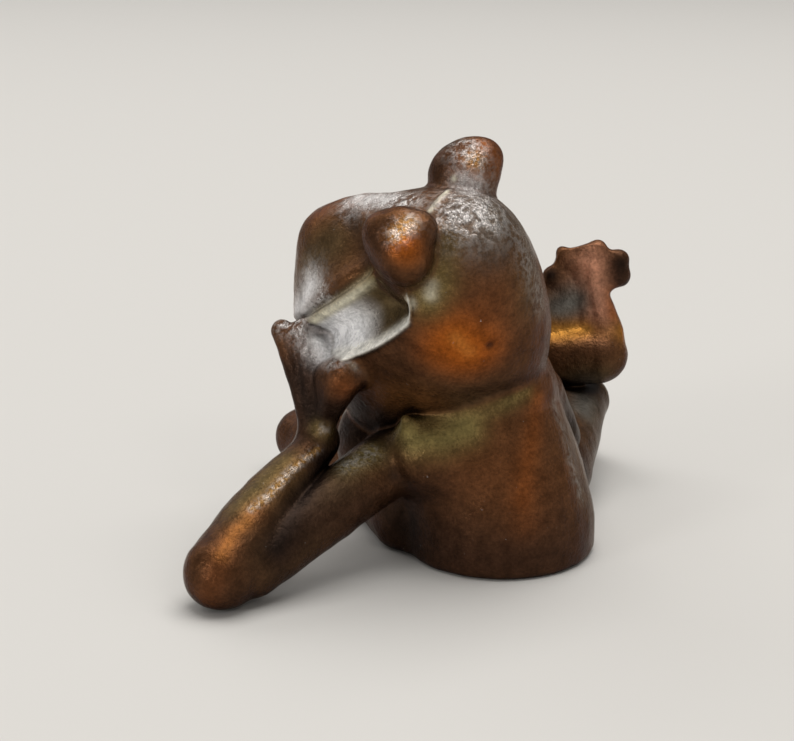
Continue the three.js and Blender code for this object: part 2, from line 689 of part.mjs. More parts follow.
const rightKneePeg = (grow) => kneePeg(rightKnee, RIGHT_KNEE_RADIUS, rightAnkle, grow);
const leftAnklePeg = (grow) =>
  peg(leftHeel.clone().addScaledVector(raisedAhead, HEEL_RADIUS), raisedAhead, grow);
const rightAnklePeg = (grow) =>
  peg(rightAnkle.clone().addScaledVector(restingAhead, ANKLE_RADIUS), restingAhead, grow);

// Every section, cut back by the ones it sits on, drilled for the pegs it takes, with its own peg added.
const gap = SEAM_GAP;
const trunk = join(
  cut(
    trunkShape(),
    headShape(gap),
    table,
    leftShoulderPeg(gap),
    rightShoulderPeg(gap),
    leftHipPeg(gap),
    rightHipPeg(gap),
  ),
  neckPeg(0),
);
const head = cut(
  headShape(),
  mouthShape(),
  neckPeg(gap),
  eyePeg(leftEyeSet, gap),
  eyePeg(rightEyeSet, gap),
);
const leftEye = join(cut(eyeShape(leftEyeSet), headShape(gap)), eyePeg(leftEyeSet, 0));
const rightEye = join(cut(eyeShape(rightEyeSet), headShape(gap)), eyePeg(rightEyeSet, 0));
const leftArm = join(
  cut(leftArmShape(), trunkShape(gap), headShape(gap), table, leftWristPeg(gap)),
  leftShoulderPeg(0),
);
const leftHand = join(cut(leftHandShape(), leftArmShape(gap), headShape(gap)), leftWristPeg(0));
const rightArm = join(cut(rightArmShape(), trunkShape(gap), rightWristPeg(gap)), rightShoulderPeg(0));
const rightHand = join(cut(rightHandShape(), rightArmShape(gap)), rightWristPeg(0));
const leftThigh = join(
  cut(leftThighShape(0), trunkShape(gap), leftArmShape(gap), table, leftKneePeg(gap)),
  leftHipPeg(0),
);
const rightThigh = join(
  cut(
    rightThighShape(0),
    trunkShape(gap),
    leftThighShape(gap),
    rightArmShape(gap),
    rightHandShape(gap),
    table,
    rightKneePeg(gap),
  ),
  rightHipPeg(0),
);
const leftShin = join(
  cut(
    leftShinShape(),
    leftThighShape(gap),
    rightThighShape(gap),
    rightHandShape(gap),
    leftAnklePeg(gap),
  ),
  leftKneePeg(0),
);
const leftFoot = join(
  cut(footShape(raisedFootBase, raisedAcross, raisedAhead, HEEL_WEB), leftShinShape(gap)),
  leftAnklePeg(0),
);
const rightShin = join(
  cut(rightShinShape(), rightThighShape(gap), leftShinShape(gap), table, rightAnklePeg(gap)),
  rightKneePeg(0),
);
const rightFoot = join(
  cut(footShape(restingFootBase, restingAcross, restingAhead, []), rightShinShape(gap), table),
  rightAnklePeg(0),
);

// Aged bronze: each section has its own copy of the metal.
function bronze(colour, roughness) {
  return new THREE.MeshStandardMaterial({ color: colour, roughness, metalness: 1 });
}

const figure = new THREE.Group();
figure.name = "reclining_figurine";

// Adds a section with its own origin at the joint it hangs from.
function add(name, section, origin, colour, roughness) {
  const mesh = section.getMesh();
  const geometry = new THREE.BufferGeometry();
  geometry.setAttribute("position", new THREE.BufferAttribute(mesh.vertProperties, 3));
  geometry.setIndex(new THREE.BufferAttribute(mesh.triVerts, 1));
  geometry.translate(-origin.x, -origin.y, -origin.z);
  geometry.computeVertexNormals();
  const made = new THREE.Mesh(geometry, bronze(colour, roughness));
  made.name = name;
  made.position.copy(origin);
  figure.add(made);
}

add("trunk", trunk, V(0, 0, 0), 0x4d3421, 0.42);
add("head", head, headCentre, 0x53381f, 0.38);
add("left_eye", leftEye, eyeCentre(leftEyeSet), 0x6b431d, 0.34);
add("right_eye", rightEye, eyeCentre(rightEyeSet), 0x5c3a1e, 0.36);
add("left_arm", leftArm, leftShoulder, 0x46331f, 0.42);
add("left_hand", leftHand, leftWrist, 0x4c3a22, 0.4);
add("right_arm", rightArm, rightShoulder, 0x4a3d25, 0.44);
add("right_hand", rightHand, rightWrist, 0x4a3822, 0.44);
add("left_thigh", leftThigh, leftHip, 0x412c1c, 0.46);
add("left_shin", leftShin, leftKnee, 0x5b3b21, 0.42);
add("left_foot", leftFoot, leftHeel, 0x553a2a, 0.44);
add("right_thigh", rightThigh, rightHip, 0x44301e, 0.46);
add("right_shin", rightShin, rightKnee, 0x4c3424, 0.44);
add("right_foot", rightFoot, rightAnkle, 0x48321f, 0.46);

export default figure;
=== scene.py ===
import math
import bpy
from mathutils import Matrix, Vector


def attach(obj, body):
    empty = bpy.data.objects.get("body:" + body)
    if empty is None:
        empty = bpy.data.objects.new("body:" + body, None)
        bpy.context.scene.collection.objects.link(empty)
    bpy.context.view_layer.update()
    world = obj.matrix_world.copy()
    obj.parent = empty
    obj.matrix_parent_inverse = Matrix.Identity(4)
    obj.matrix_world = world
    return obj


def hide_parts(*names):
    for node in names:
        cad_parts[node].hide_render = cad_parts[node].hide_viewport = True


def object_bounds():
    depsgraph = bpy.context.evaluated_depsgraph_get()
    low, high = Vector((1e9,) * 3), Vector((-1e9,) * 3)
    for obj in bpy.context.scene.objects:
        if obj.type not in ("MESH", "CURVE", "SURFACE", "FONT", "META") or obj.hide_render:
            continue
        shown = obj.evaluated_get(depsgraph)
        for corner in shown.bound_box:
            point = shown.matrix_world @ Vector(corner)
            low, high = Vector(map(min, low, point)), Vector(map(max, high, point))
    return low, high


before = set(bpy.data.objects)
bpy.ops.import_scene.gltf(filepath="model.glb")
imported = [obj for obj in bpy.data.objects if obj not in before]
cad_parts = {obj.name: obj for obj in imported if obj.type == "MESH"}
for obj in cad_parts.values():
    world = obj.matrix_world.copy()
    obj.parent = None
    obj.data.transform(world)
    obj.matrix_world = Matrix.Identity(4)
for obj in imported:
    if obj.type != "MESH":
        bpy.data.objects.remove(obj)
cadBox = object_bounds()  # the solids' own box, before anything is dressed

from concurrent.futures import ThreadPoolExecutor

import bpy
import numpy as np
import openvdb

mm = 0.001  # shapes are written in millimetres, Blender works in metres
tiny = 1e-6  # keeps divisors off zero
print("frame loaded:", len(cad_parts), "sections")


# shape tools: each shape is a distance field over rows of points, negative inside the metal

def vec(*numbers):
    return np.array(numbers, np.float32)


def unit(direction):
    direction = np.asarray(direction, np.float32)
    return direction / np.linalg.norm(direction)


def between(a, b, share):
    return vec(*a) * (1 - share) + vec(*b) * share


def ramp(x, start, end):  # smooth step from 0 to 1
    t = np.clip((x - start) / (end - start), 0, 1)
    return t * t * (3 - 2 * t)


def softJoin(a, b, fillet):  # union with a round fillet
    h = np.clip(0.5 + 0.5 * (b - a) / fillet, 0, 1)
    return b + (a - b) * h - fillet * h * (1 - h)


def softCut(a, b, fillet):  # keeps what is inside both
    return -softJoin(-a, -b, fillet)


def splineOf(stops):  # cubic pieces through the stops, four coefficients each
    rows = np.array(stops, np.float32)
    rows = np.vstack([2 * rows[0] - rows[1], rows, 2 * rows[-1] - rows[-2]])
    a, b, c, d = rows[:-3], rows[1:-2], rows[2:-1], rows[3:]
    return 0.5 * np.stack([2 * b, c - a, 2 * a - 5 * b + 4 * c - d, 3 * b - a - 3 * c + d], 1)


def alongSpline(pieces, at):
    span = np.clip(at.astype(np.int32), 0, len(pieces) - 1)
    t = (at - span)[:, None].astype(np.float32)
    k = pieces[span]
    place = k[:, 0] + t * (k[:, 1] + t * (k[:, 2] + t * k[:, 3]))
    speed = k[:, 1] + t * (2 * k[:, 2] + 3 * t * k[:, 3])
    return place, speed


def limbField(p, stops, steps=4):  # stops are (x, y, z, radius)
    pieces = splineOf(stops)
    marks = np.linspace(0, len(pieces), len(pieces) * steps + 1)
    line = alongSpline(pieces, marks)[0]
    best = np.full(len(p), 1e3, np.float32)
    at = np.zeros(len(p), np.float32)
    for mark, start, end in zip(marks, line[:-1], line[1:]):
        along = end[:3] - start[:3]
        off = p - start[:3]
        t = np.clip(off @ along / max(float(along @ along), tiny), 0, 1)
        off -= t[:, None] * along
        gap = np.sqrt(np.einsum("ij,ij->i", off, off)) - (start[3] + t * (end[3] - start[3]))
        closer = gap < best
        best = np.where(closer, gap, best)
        at = np.where(closer, mark + t / steps, at).astype(np.float32)
    for again in range(2):  # two steps from the straight bits onto the curve
        place, speed = alongSpline(pieces, at)
        slope = np.einsum("ij,ij->i", place[:, :3] - p, speed[:, :3])
        pace = np.maximum(np.einsum("ij,ij->i", speed[:, :3], speed[:, :3]), tiny)
        at = np.clip(at - slope / pace, 0, len(pieces))
    place = alongSpline(pieces, at)[0]
    return np.linalg.norm(place[:, :3] - p, axis=1) - place[:, 3]


def limbBox(*limbs):
    rows = np.array([row for stops in limbs for row in stops], np.float32)
    return (rows[:, :3] - rows[:, 3:4]).min(0), (rows[:, :3] + rows[:, 3:4]).max(0)


def ballField(p, centre, halfSizes, axes=np.eye(3, dtype=np.float32)):
    scaled = (p - centre) @ axes.T / halfSizes
    k0 = np.linalg.norm(scaled, axis=1)
    k1 = np.linalg.norm(scaled / halfSizes, axis=1)
    return k0 * (k0 - 1) / np.maximum(k1, tiny)


def lineGap(p, places):  # distance to a line through the places
    rows = np.array(places, np.float32)
    best = np.linalg.norm(p - rows[0], axis=1)
    for start, end in zip(rows[:-1], rows[1:]):
        along = end - start
        t = np.clip((p - start) @ along / (along @ along), 0, 1)
        best = np.minimum(best, np.linalg.norm(p - start - t[:, None] * along, axis=1))
    return best


def joined(p, limbs, fillet):
    field = limbField(p, limbs[0])
    for stops in limbs[1:]:
        field = softJoin(field, limbField(p, stops), fillet)
    return field


# trunk: a leaning dome with the chest and the left shoulder swelling out of it

trunkSet = {
    # height, half width, lean
    "levels": [(0.0, 9.3, 0.0), (3.5, 9.45, 0.1), (7.35, 9.1, 0.65), (11.55, 8.45, 1.35), (15.4, 7.6, 2.0)],
    "depthRatio": 1.08,
    "domeHeight": 7.4,
    "chest": [(-2.6, 0.0, 7.9, 5.4), (-10.6, 2.0, 10.0, 5.4)],
    "chestFillet": 2.5,
    "shoulder": [(-3.5, -3.5, 9.5, 3.5), (-7.0, -5.9, 11.3, 3.9)],
    "nub": [(-8.6, -6.6, 13.6, 1.3), (-9.2, -8.0, 15.2, 0.55)],
    "shoulderFillet": 2.0,
    "nubFillet": 1.0,
    "slices": 49,
}


def trunkField(p):
    t = trunkSet
    rows = np.array(t["levels"], np.float32)
    marks = np.linspace(0, len(rows) - 1, t["slices"])
    rows = alongSpline(splineOf(rows), marks)[0]
    z = p[:, 2]
    half = np.interp(z, rows[:, 0], rows[:, 1])
    lean = np.interp(z, rows[:, 0], rows[:, 2])
    dome = np.maximum(z - rows[-1, 0], 0) / t["domeHeight"]
    across = (p[:, 0] + lean) / half
    deep = p[:, 1] / (half * t["depthRatio"])
    body = (np.sqrt(across ** 2 + deep ** 2 + dome ** 2) - 1) * half
    body = softJoin(body, limbField(p, t["chest"]), t["chestFillet"])
    body = softJoin(body, limbField(p, t["shoulder"]), t["shoulderFillet"])
    return softJoin(body, limbField(p, t["nub"]), t["nubFillet"]).astype(np.float32)


# head

headSet = {
    "centre": vec(-7.3, -1.1, 24.6),
    "halfSizes": vec(14.7, 9.9, 12.1),
    "turn": 129.0,
    "pitch": -28.0,
    "roll": -33.0,
    # direction in the head's own axes, spread, rise
    "relief": [
        ((0.28, 0.0, 0.96), 0.06, 1.7),  # snout
        ((-0.4, 0.38, 0.84), 0.05, -1.5),  # crown
        ((0.09, 0.45, 0.89), 0.045, -0.6),  # hollow above the lip
        ((-0.85, 0.3, -0.35), 0.12, -1.2),  # nape
        ((-0.95, 0.0, 0.3), 0.05, 1.2),  # back of the crown
        ((-0.2, 0.0, -0.98), 0.05, 1.0),  # throat
        ((0.62, 0.58, -0.53), 0.06, 2.6),  # jowl
    ],
    # places in the head's own axes, reach, rise
    "lines": [
        ([(-2.3, 1.4, 11.4), (-3.3, 3.1, 9.9), (-4.5, 5.4, 8.0)], 1.0, -0.5),  # hollow before the near knob
        ([(-2.5, -2.2, 11.9), (-5.5, -2.2, 11.4)], 2.2, 0.45),
        ([(-11.4, -3.7, 8.2), (-11.5, -1.3, 8.0), (-11.3, 1.4, 8.0)], 0.3, 0.16),  # ridge between the knobs
        ([(-8.1, 7.7, 3.5)], 0.45, 0.3),  # bead at the mouth's corner
        ([(-9.3, 5.3, -4.6)], 0.45, -0.3),  # pit in the cheek
        ([(-12.2, 4.8, 0.9)], 0.6, 0.22),
        ([(-10.3, 6.5, 3.4)], 0.9, 0.2),
    ],
}

mouthSet = {
    "lip": 7.5,  # height of the upper lip on the head
    "lipDroop": 0.012,
    "low": 2.1,  # height of the lower rim
    "lowCurve": 0.012,
    "lowestAt": -4.5,
    "lowFront": 3,
    "cornerBack": -6.9,
    "cornerRise": 1.8,
    "cornerLength": 1.5,
    "end": -8.4,
    "endLean": 0.5,
    "endFrom": 3.4,
    "endFade": (-0.2, 1.1),
    "depth": 2.1,
    "deepest": 0.65,
    "fullTall": 3,
    "leastTall": 0.3,
    "roll": 0.8,
    "groove": 0.5,
    "grooveWide": 0.3,
    "flare": 0.5,
    "flareFall": 1.3,
    "bead": (0.3, 0.5, 0.35),  # rise, distance under the lip, width
    "rim": 0.5,
    "rimWide": 0.32,
    "rimStart": (-9.0, -8.1),
    "start": (-10.6, -8.9),
}


def headAxes():
    turn, pitch, roll = (math.radians(headSet[k]) for k in ("turn", "pitch", "roll"))
    forward = vec(math.cos(pitch) * math.cos(turn), math.cos(pitch) * math.sin(turn), math.sin(pitch))
    levelLeft = unit(np.cross(vec(0, 0, 1), forward))
    levelUp = np.cross(forward, levelLeft)
    left = levelLeft * math.cos(roll) + levelUp * math.sin(roll)
    return np.array([forward, left, np.cross(forward, left)], np.float32)


headWays = headAxes()


def onHead(forward, left, up):
    return headSet["centre"] + vec(forward, left, up) @ headWays


def mouthLines(s, u):
    # lip and rim heights, the room between them, the share of it below a point, the channel's back end
    m = mouthSet
    lip = m["lip"] - m["lipDroop"] * np.maximum(s, 0) ** 2
    low = m["low"] + m["lowCurve"] * (np.clip(s, m["cornerBack"], m["lowFront"]) - m["lowestAt"]) ** 2
    low = low + m["cornerRise"] * (np.maximum(m["cornerBack"] - s, 0) / m["cornerLength"]) ** 2
    tall = lip - m["roll"] - low
    v = (u - low) / np.maximum(tall, m["leastTall"])
    end = m["end"] + m["endLean"] * np.maximum(u - m["endFrom"], 0)
    return lip, low, tall, v, end


def mouthRelief(s, u):
    m = mouthSet
    lip, low, tall, v, end = mouthLines(s, u)
    above = u - lip
    shape = -m["groove"] * np.exp(-(above / m["grooveWide"]) ** 2)
    shape += m["flare"] * np.exp(-np.maximum(above, 0) / m["flareFall"]) * ramp(above, -0.15, 0.2)
    beadRise, beadUnder, beadWide = m["bead"]
    shape += beadRise * np.exp(-((above + beadUnder) / beadWide) ** 2)
    rise = 1 - np.clip(1 - v / m["deepest"], 0, 1) ** 2
    back = 1 - 0.8 * np.clip((v - m["deepest"]) / (1 - m["deepest"]), 0, 1) ** 2
    depth = m["depth"] * np.where(v < m["deepest"], rise, back) * (1 - ramp(v, 1.0, 1.18)) * (v > 0)
    first, full = m["endFade"]
    shape -= depth * np.clip(tall / m["fullTall"], 0, 1) * ramp(s, end + first, end + full)
    shape += m["rim"] * np.exp(-((u - low) / m["rimWide"]) ** 2) * (tall > 0) * ramp(s, *m["rimStart"])
    return shape * ramp(s, *m["start"])


def headField(p):
    local = (p - headSet["centre"]) @ headWays.T
    far = np.maximum(np.linalg.norm(local, axis=1), 1e-3)
    way = local / far[:, None]
    scaled = way / headSet["halfSizes"]
    inverse = np.linalg.norm(scaled, axis=1)
    lean = inverse ** 2 / np.linalg.norm(scaled / headSet["halfSizes"], axis=1)
    reach = 1 / inverse
    for direction, spread, rise in headSet["relief"]:
        for side in (1, -1) if direction[1] else (1,):
            aim = unit(vec(direction[0], direction[1] * side, direction[2]))
            reach = reach + rise * np.exp((way @ aim - 1) / spread)
    reach = reach + mouthRelief(way[:, 0] * reach, way[:, 2] * reach)
    for places, wide, rise in headSet["lines"]:
        reach = reach + rise * np.exp(-(lineGap(local, places) / wide) ** 2)
    return ((far - reach) * lean).astype(np.float32)


# eye knobs: eggs that point back and outward, on short necks

eyeSet = {
    "place": (-10.6, 6.2, 7.8),
    "long": (-0.71, 0.66, -0.23),
    "neck": {1: 2.6, -1: 3.1},
    "shift": {1: vec(0, 0, 0), -1: vec(-0.3, 0, 0)},
    "neckShift": {1: vec(0, 0, 0), -1: vec(0.6, 0, 0)},
    "halfSizes": {1: vec(3.2, 2.6, 2.7), -1: vec(3.6, 2.55, 2.65)},
    "lower": {1: 0.0, -1: 0.35},
    "rootShare": 0.34,  # of the way from the knob to the head's centre
    "neckFillet": 0.8,
    # the near knob is broad above and narrow below: balls off its centre
    "balls": {
        1: [(vec(1.8, -0.3, 1.9), 1.4), (vec(-1.5, 0.6, 1.4), 1.9), (vec(0.2, 0.0, 1.8), 1.6),
            (vec(0.4, -0.8, -1.0), 1.8)],
        -1: [],
    },
    "ballFillet": 1.4,
    "boxRadii": (2.6, 3.9),
}


def eyeCentre(side):
    forward, aside, up = eyeSet["place"]
    return onHead(forward, side * aside, up - eyeSet["lower"][side]) + eyeSet["shift"][side]


def eyeField(p, side):
    e = eyeSet
    centre = eyeCentre(side)
    long = unit(vec(e["long"][0], side * e["long"][1], e["long"][2]) @ headWays)
    away = unit(centre - headSet["centre"])
    cross = unit(np.cross(long, away))
    axes = np.array([long, cross, np.cross(long, cross)], np.float32)
    root = between(centre, headSet["centre"], e["rootShare"]) + e["neckShift"][side]
    neck = limbField(p, [(*root, e["neck"][side]), (*between(root, centre, 0.8), e["neck"][side])])
    knob = softJoin(neck, ballField(p, centre, e["halfSizes"][side], axes), e["neckFillet"])
    for off, size in e["balls"][side]:
        knob = softJoin(knob, np.linalg.norm(p - centre - off, axis=1) - size, e["ballFillet"])
    return knob


def eyeBox(side):
    centre = eyeCentre(side)
    rootRadius, knobRadius = eyeSet["boxRadii"]
    root = between(centre, headSet["centre"], eyeSet["rootShare"])
    return limbBox([(*root, rootRadius), (*centre, knobRadius)])


# arms

armSet = {
    "root": vec(-7.5, -3.2, 9.8),
    "shoulder": vec(-10.9, -5.0, 9.8),
    "elbow": vec(-25.8, -16.1, 3.3),
    "fold": vec(2.4, 1.44, 0.0),
    "wrist": vec(-17.4, -5.3, 12.3),
    "shoulderRadius": 3.2,
    "elbowRadius": 3.5,
    "foreRadius": 3.2,
    "cuffRadius": 2.1,
    "wristRadius": 1.7,
    "fillet": 0.4,
}


def leftArmStops():
    a = armSet
    end = a["elbow"] + a["fold"]
    upper = [(*a["root"], a["shoulderRadius"]), (*a["shoulder"], a["shoulderRadius"]),
             (*between(a["shoulder"], end, 0.5), a["shoulderRadius"] * 0.95),
             (*end, a["elbowRadius"] * 0.86)]
    fore = [(*a["elbow"], a["elbowRadius"]),
            (*(between(a["elbow"], a["wrist"], 0.42) + vec(0, 0.6, 0)), a["foreRadius"]),
            (*between(a["elbow"], a["wrist"], 0.85), a["cuffRadius"]),
            (*a["wrist"], a["wristRadius"])]
    return [upper, fore]


rightArmSet = {
    "stops": [(3.6, 4.0, 14.5, 2.9), (5.5, 6.5, 11.15, 2.25), (6.6, 8.6, 8.4, 2.15), (6.0, 11.9, 9.3, 2.0),
              (5.4, 14.6, 10.0, 1.8)],
}


# hands

leftHandSet = {
    "palm": [(-17.4, -5.3, 12.3, 1.5), (-17.5, -5.3, 14.2, 1.4), (-17.7, -4.8, 16.4, 1.6),
             (-17.3, -4.4, 18.0, 1.6)],
    "digits": [
        [(-18.4, -5.6, 14.2, 0.85), (-19.5, -4.4, 18.8, 0.95), (-20.8, -2.5, 22.3, 1.1)],
        [(-17.7, -5.9, 14.2, 0.85), (-18.2, -5.0, 18.8, 0.95), (-19.2, -3.0, 22.3, 1.1)],
        [(-16.9, -5.9, 14.4, 0.85), (-17.0, -5.4, 18.0, 0.95), (-17.6, -3.5, 20.9, 1.1)],
        [(-16.6, -6.0, 14.8, 0.95), (-15.7, -6.8, 17.3, 1.6), (-15.0, -7.0, 18.8, 1.75)],
    ],
    "bump": [(-17.0, -6.7, 13.5, 0.7), (-16.7, -6.9, 14.1, 0.6)],
    # between the thumb and the fingers, and from the third finger into the mouth
    "fills": [
        [(-16.6, -5.9, 15.2, 1.2), (-16.0, -6.0, 18.6, 1.8)],
        [(-17.5, -3.2, 20.9, 1.0), (-16.9, -1.1, 21.2, 1.3), (-16.1, 0.8, 20.9, 1.7)],
        [(-18.4, -2.6, 22.2, 0.9), (-17.2, 0.5, 22.0, 1.7)],
    ],
    "fillet": 0.45,
}


def leftHandLimbs():
    h = leftHandSet
    return [h["palm"]] + h["fills"] + h["digits"] + [h["bump"]]


rightHandSet = {
    "wrist": vec(5.4, 14.6, 10.0),
    "reach": vec(5.0, 17.2, 10.1),
    "spreads": (-2.1, -0.7, 0.7, 2.1),
    "fillet": 0.5,
}


def rightHandLimbs():
    r = rightHandSet
    limbs = [[(*r["wrist"], 1.8), (*r["reach"], 1.95)]]
    for spread in r["spreads"]:
        places = [r["reach"] + vec(spread * 0.7, 0.4, 0), r["reach"] + vec(spread * 1.1, 1.9, -0.3),
                  r["reach"] + vec(spread * 1.4, 3.2, -1.2)]
        limbs.append([(*place, radius) for place, radius in zip(places, (0.85, 0.95, 1.1))])
    return limbs


# legs

legSet = {
    "leftThigh": [(-7.6, 1.2, 2.8, 5.0), (-10.9, 8.95, 3.15, 4.46), (-20.1, 24.0, 3.8, 3.2)],
    "rightThigh": [(4.65, 9.6, 3.1, 5.0), (6.7, 15.0, 4.6, 4.33), (10.6, 25.4, 7.6, 2.75)],
    "leftShin": [(-20.1, 24.0, 3.8, 2.9), (-7.4, 25.0, 9.2, 3.1), (5.0, 23.7, 12.7, 3.2),
                 (11.9, 22.6, 13.5, 3.1)],
    "rightShin": [(10.8, 25.8, 7.6, 2.5), (10.9, 27.6, 4.7, 2.05), (10.6, 29.4, 1.7, 1.5)],
}

footSet = {
    "sole": [(0.6, -1.0, 0.0, 2.0), (-0.5, 3.0, 0.0, 1.55), (-1.0, 5.8, 0.0, 1.6), (-0.9, 7.2, 0.0, 1.2)],
    # from the sole to the tip, across and ahead, then the two radii
    "toes": [
        ((-2.0, 3.5), (-5.3, 5.2), 0.5, 0.95),
        ((-1.7, 4.8), (-4.2, 7.7), 0.5, 0.5),
        ((-0.8, 6.5), (-0.3, 8.2), 0.8, 0.85),
        ((-0.4, 5.4), (1.95, 6.9), 0.8, 1.15),
        ((0.0, 4.2), (2.05, 5.1), 0.8, 1.2),
    ],
    "webRoot": (-0.8, 2.5),
    "webHeel": {"raised": [(-1.0, -2.0), (-5.6, -1.6)], "resting": []},
    "web": 0.5,
    "fillet": 0.9,
    # where the heel is, then the ways across and ahead
    "raised": (vec(11.9, 22.8, 17.0), vec(1, 0, 0),
               vec(0, math.sin(math.radians(7)), math.cos(math.radians(7)))),
    "resting": (vec(9.6, 31.2, 1.3), vec(0.866, 0.5, 0), vec(-0.5, 0.866, 0)),
}


def footField(p, which):
    f = footSet
    base, across, ahead = f[which]
    normal = np.cross(across, ahead)
    local = (p - base) @ np.array([across, ahead, normal], np.float32).T
    limbs = [f["sole"]]
    for start, tip, thin, pad in f["toes"]:
        middle = [(a + b) / 2 for a, b in zip(start, tip)]
        limbs.append([(*start, 0, thin), (*middle, 0, (thin + pad) / 2), (*tip, 0, pad)])
    field = joined(local, limbs, f["fillet"])
    # web: a thin fan between the toes
    corners = f["webHeel"][which] + [tip for start, tip, thin, pad in f["toes"]]
    spokes = [(a - f["webRoot"][0], b - f["webRoot"][1]) for a, b in corners]
    turns = [math.atan2(a, b) for a, b in spokes]
    off = local[:, :2] - vec(*f["webRoot"])
    angle = np.arctan2(off[:, 0], off[:, 1])
    length = np.linalg.norm(off, axis=1)
    reach = np.interp(angle, turns, [math.hypot(*spoke) for spoke in spokes])
    side = np.maximum(turns[0] - angle, angle - turns[-1]) * length
    web = np.maximum(np.maximum(length - reach, side), np.abs(local[:, 2]) - f["web"])
    return softJoin(field, web, f["fillet"]).astype(np.float32)


# the casting: every section joined with fillets, then parted again along its creases

def sections():
    arm, hand, other = leftArmStops(), leftHandLimbs(), rightHandLimbs()
    head = headSet["centre"]
    rows = [  # name, field, box, fillet
        ("trunk", trunkField, (vec(-17, -11, -1), vec(10.5, 11, 23)), 0.5),
        ("head", headField, (head - 16, head + 16), 0.5),
        ("left_eye", lambda p: eyeField(p, 1), eyeBox(1), 1.5),
        ("right_eye", lambda p: eyeField(p, -1), eyeBox(-1), 0.6),
        ("left_arm", lambda p: joined(p, arm, armSet["fillet"]), limbBox(*arm), 1.0),
        ("left_hand", lambda p: joined(p, hand, leftHandSet["fillet"]), limbBox(*hand), 1.6),
        ("right_arm", lambda p: limbField(p, rightArmSet["stops"]), limbBox(rightArmSet["stops"]), 1.0),
        ("right_hand", lambda p: joined(p, other, rightHandSet["fillet"]), limbBox(*other), 0.5),
    ]
    for name, key, fillet in (("left_thigh", "leftThigh", 1.0), ("right_thigh", "rightThigh", 1.0),
                              ("left_shin", "leftShin", 0.8), ("right_shin", "rightShin", 0.8)):
        rows.append((name, lambda p, key=key: limbField(p, legSet[key]), limbBox(legSet[key]), fillet))
    for name, key in (("left_foot", "raised"), ("right_foot", "resting")):
        base = footSet[key][0]
        rows.append((name, lambda p, key=key: footField(p, key), (base - 9.5, base + 9.5), 0.8))
    return rows


castSet = {
    "voxel": 0.16,
    "coarse": 5,  # voxels along a rough cell
    "margin": 2.0,
    "spare": 3.2,  # how far past its box a section is measured
    "far": 5.0,
    "band": 1.25,  # rough cells closer to the skin than this are measured voxel by voxel
    "baseFillet": 0.9,
    "batch": 8000,
    "chunk": 40000,
    "workers": 4,
    "normalStep": 0.8,  # in voxels
    "creases": ((0.6, 0.3), (1.3, 0.35), (2.6, 0.35)),  # how far out to look, share
}

# the hand-worked unevenness: waves that run every way
lumpSet = {"waves": 8, "shortest": 1.3, "growth": 1.2, "slope": 0.03, "turn": 2.4, "shift": 1.7}

parts = sections()


def lumps(p):
    w = lumpSet
    rise = np.zeros(len(p), np.float32)
    for i in range(w["waves"]):
        length = w["shortest"] * w["growth"] ** i
        tilt = 1 - 2 * (i + 0.5) / w["waves"]
        flat = math.sqrt(1 - tilt ** 2)
        turn = w["turn"] * i
        way = vec(flat * math.cos(turn), flat * math.sin(turn), tilt) * (2 * math.pi / length)
        rise += w["slope"] * length / (2 * math.pi) * np.sin(p @ way + w["shift"] * i)
    return rise


def near(p, box):
    return ((p > box[0] - castSet["spare"]) & (p < box[1] + castSet["spare"])).all(1)


def overChunks(work, p):  # shares the rows out over the processor's cores
    chunks = np.array_split(p, max(len(p) // castSet["chunk"], 1))
    with ThreadPoolExecutor(castSet["workers"]) as pool:
        return np.concatenate(list(pool.map(work, chunks)))


def chunkField(p):
    total = np.full(len(p), castSet["far"], np.float32)
    for name, field, box, fillet in parts:
        here = np.flatnonzero(near(p, box))
        if len(here):
            total[here] = softJoin(total[here], field(p[here]), fillet)
    return softCut(total + lumps(p), -p[:, 2], castSet["baseFillet"]).astype(np.float32)


def figureField(p):
    return overChunks(chunkField, p)


def chunkGaps(p):
    gaps = np.full((len(p), len(parts)), castSet["far"], np.float32)
    for i, (name, field, box, fillet) in enumerate(parts):
        here = np.flatnonzero(near(p, box))
        if len(here):
            gaps[here, i] = field(p[here])
    return gaps


def castVolume():  # fine distances near the skin, plain inside and outside elsewhere
    step, block = castSet["voxel"], castSet["coarse"]
    low = np.array(cadBox[0], np.float32) / mm - castSet["margin"]
    high = np.array(cadBox[1], np.float32) / mm + castSet["margin"]
    counts = np.ceil((high - low) / (step * block)).astype(int)
    cells = np.stack(np.meshgrid(*[np.arange(n) for n in counts], indexing="ij"), -1).reshape(-1, 3)
    middle = low + (cells * block + (block - 1) / 2) * step
    rough = figureField(middle.astype(np.float32))
    sign = np.where(rough < 0, -castSet["far"], castSet["far"]).astype(np.float32).reshape(counts)
    volume = sign.repeat(block, 0).repeat(block, 1).repeat(block, 2)
    close = cells[np.abs(rough) < castSet["band"]] * block
    inner = np.stack(np.meshgrid(*[np.arange(block)] * 3, indexing="ij"), -1).reshape(-1, 3)
    for start in range(0, len(close), castSet["batch"]):
        spots = (close[start:start + castSet["batch"], None, :] + inner[None]).reshape(-1, 3)
        fine = figureField((low + spots * step).astype(np.float32))
        volume[spots[:, 0], spots[:, 1], spots[:, 2]] = fine
    print("cast volume", volume.shape, "fine cells", len(close))
    return low, volume


def skinOf(low, volume):
    grid = openvdb.FloatGrid(float(castSet["far"]))
    grid.copyFromArray(volume, tolerance=0.0)
    points, quads = grid.convertToQuads(0.0)
    points = low + points.astype(np.float32) * castSet["voxel"]
    tris = np.vstack([quads[:, [0, 1, 2]], quads[:, [0, 2, 3]]]).astype(np.int64)
    a, b, c = (points[tris[:, k]] for k in range(3))
    size = np.einsum("ij,ij->", a.astype(float), np.cross(b - a, c - a).astype(float))
    if size < 0:
        tris = tris[:, ::-1]
    return points, tris


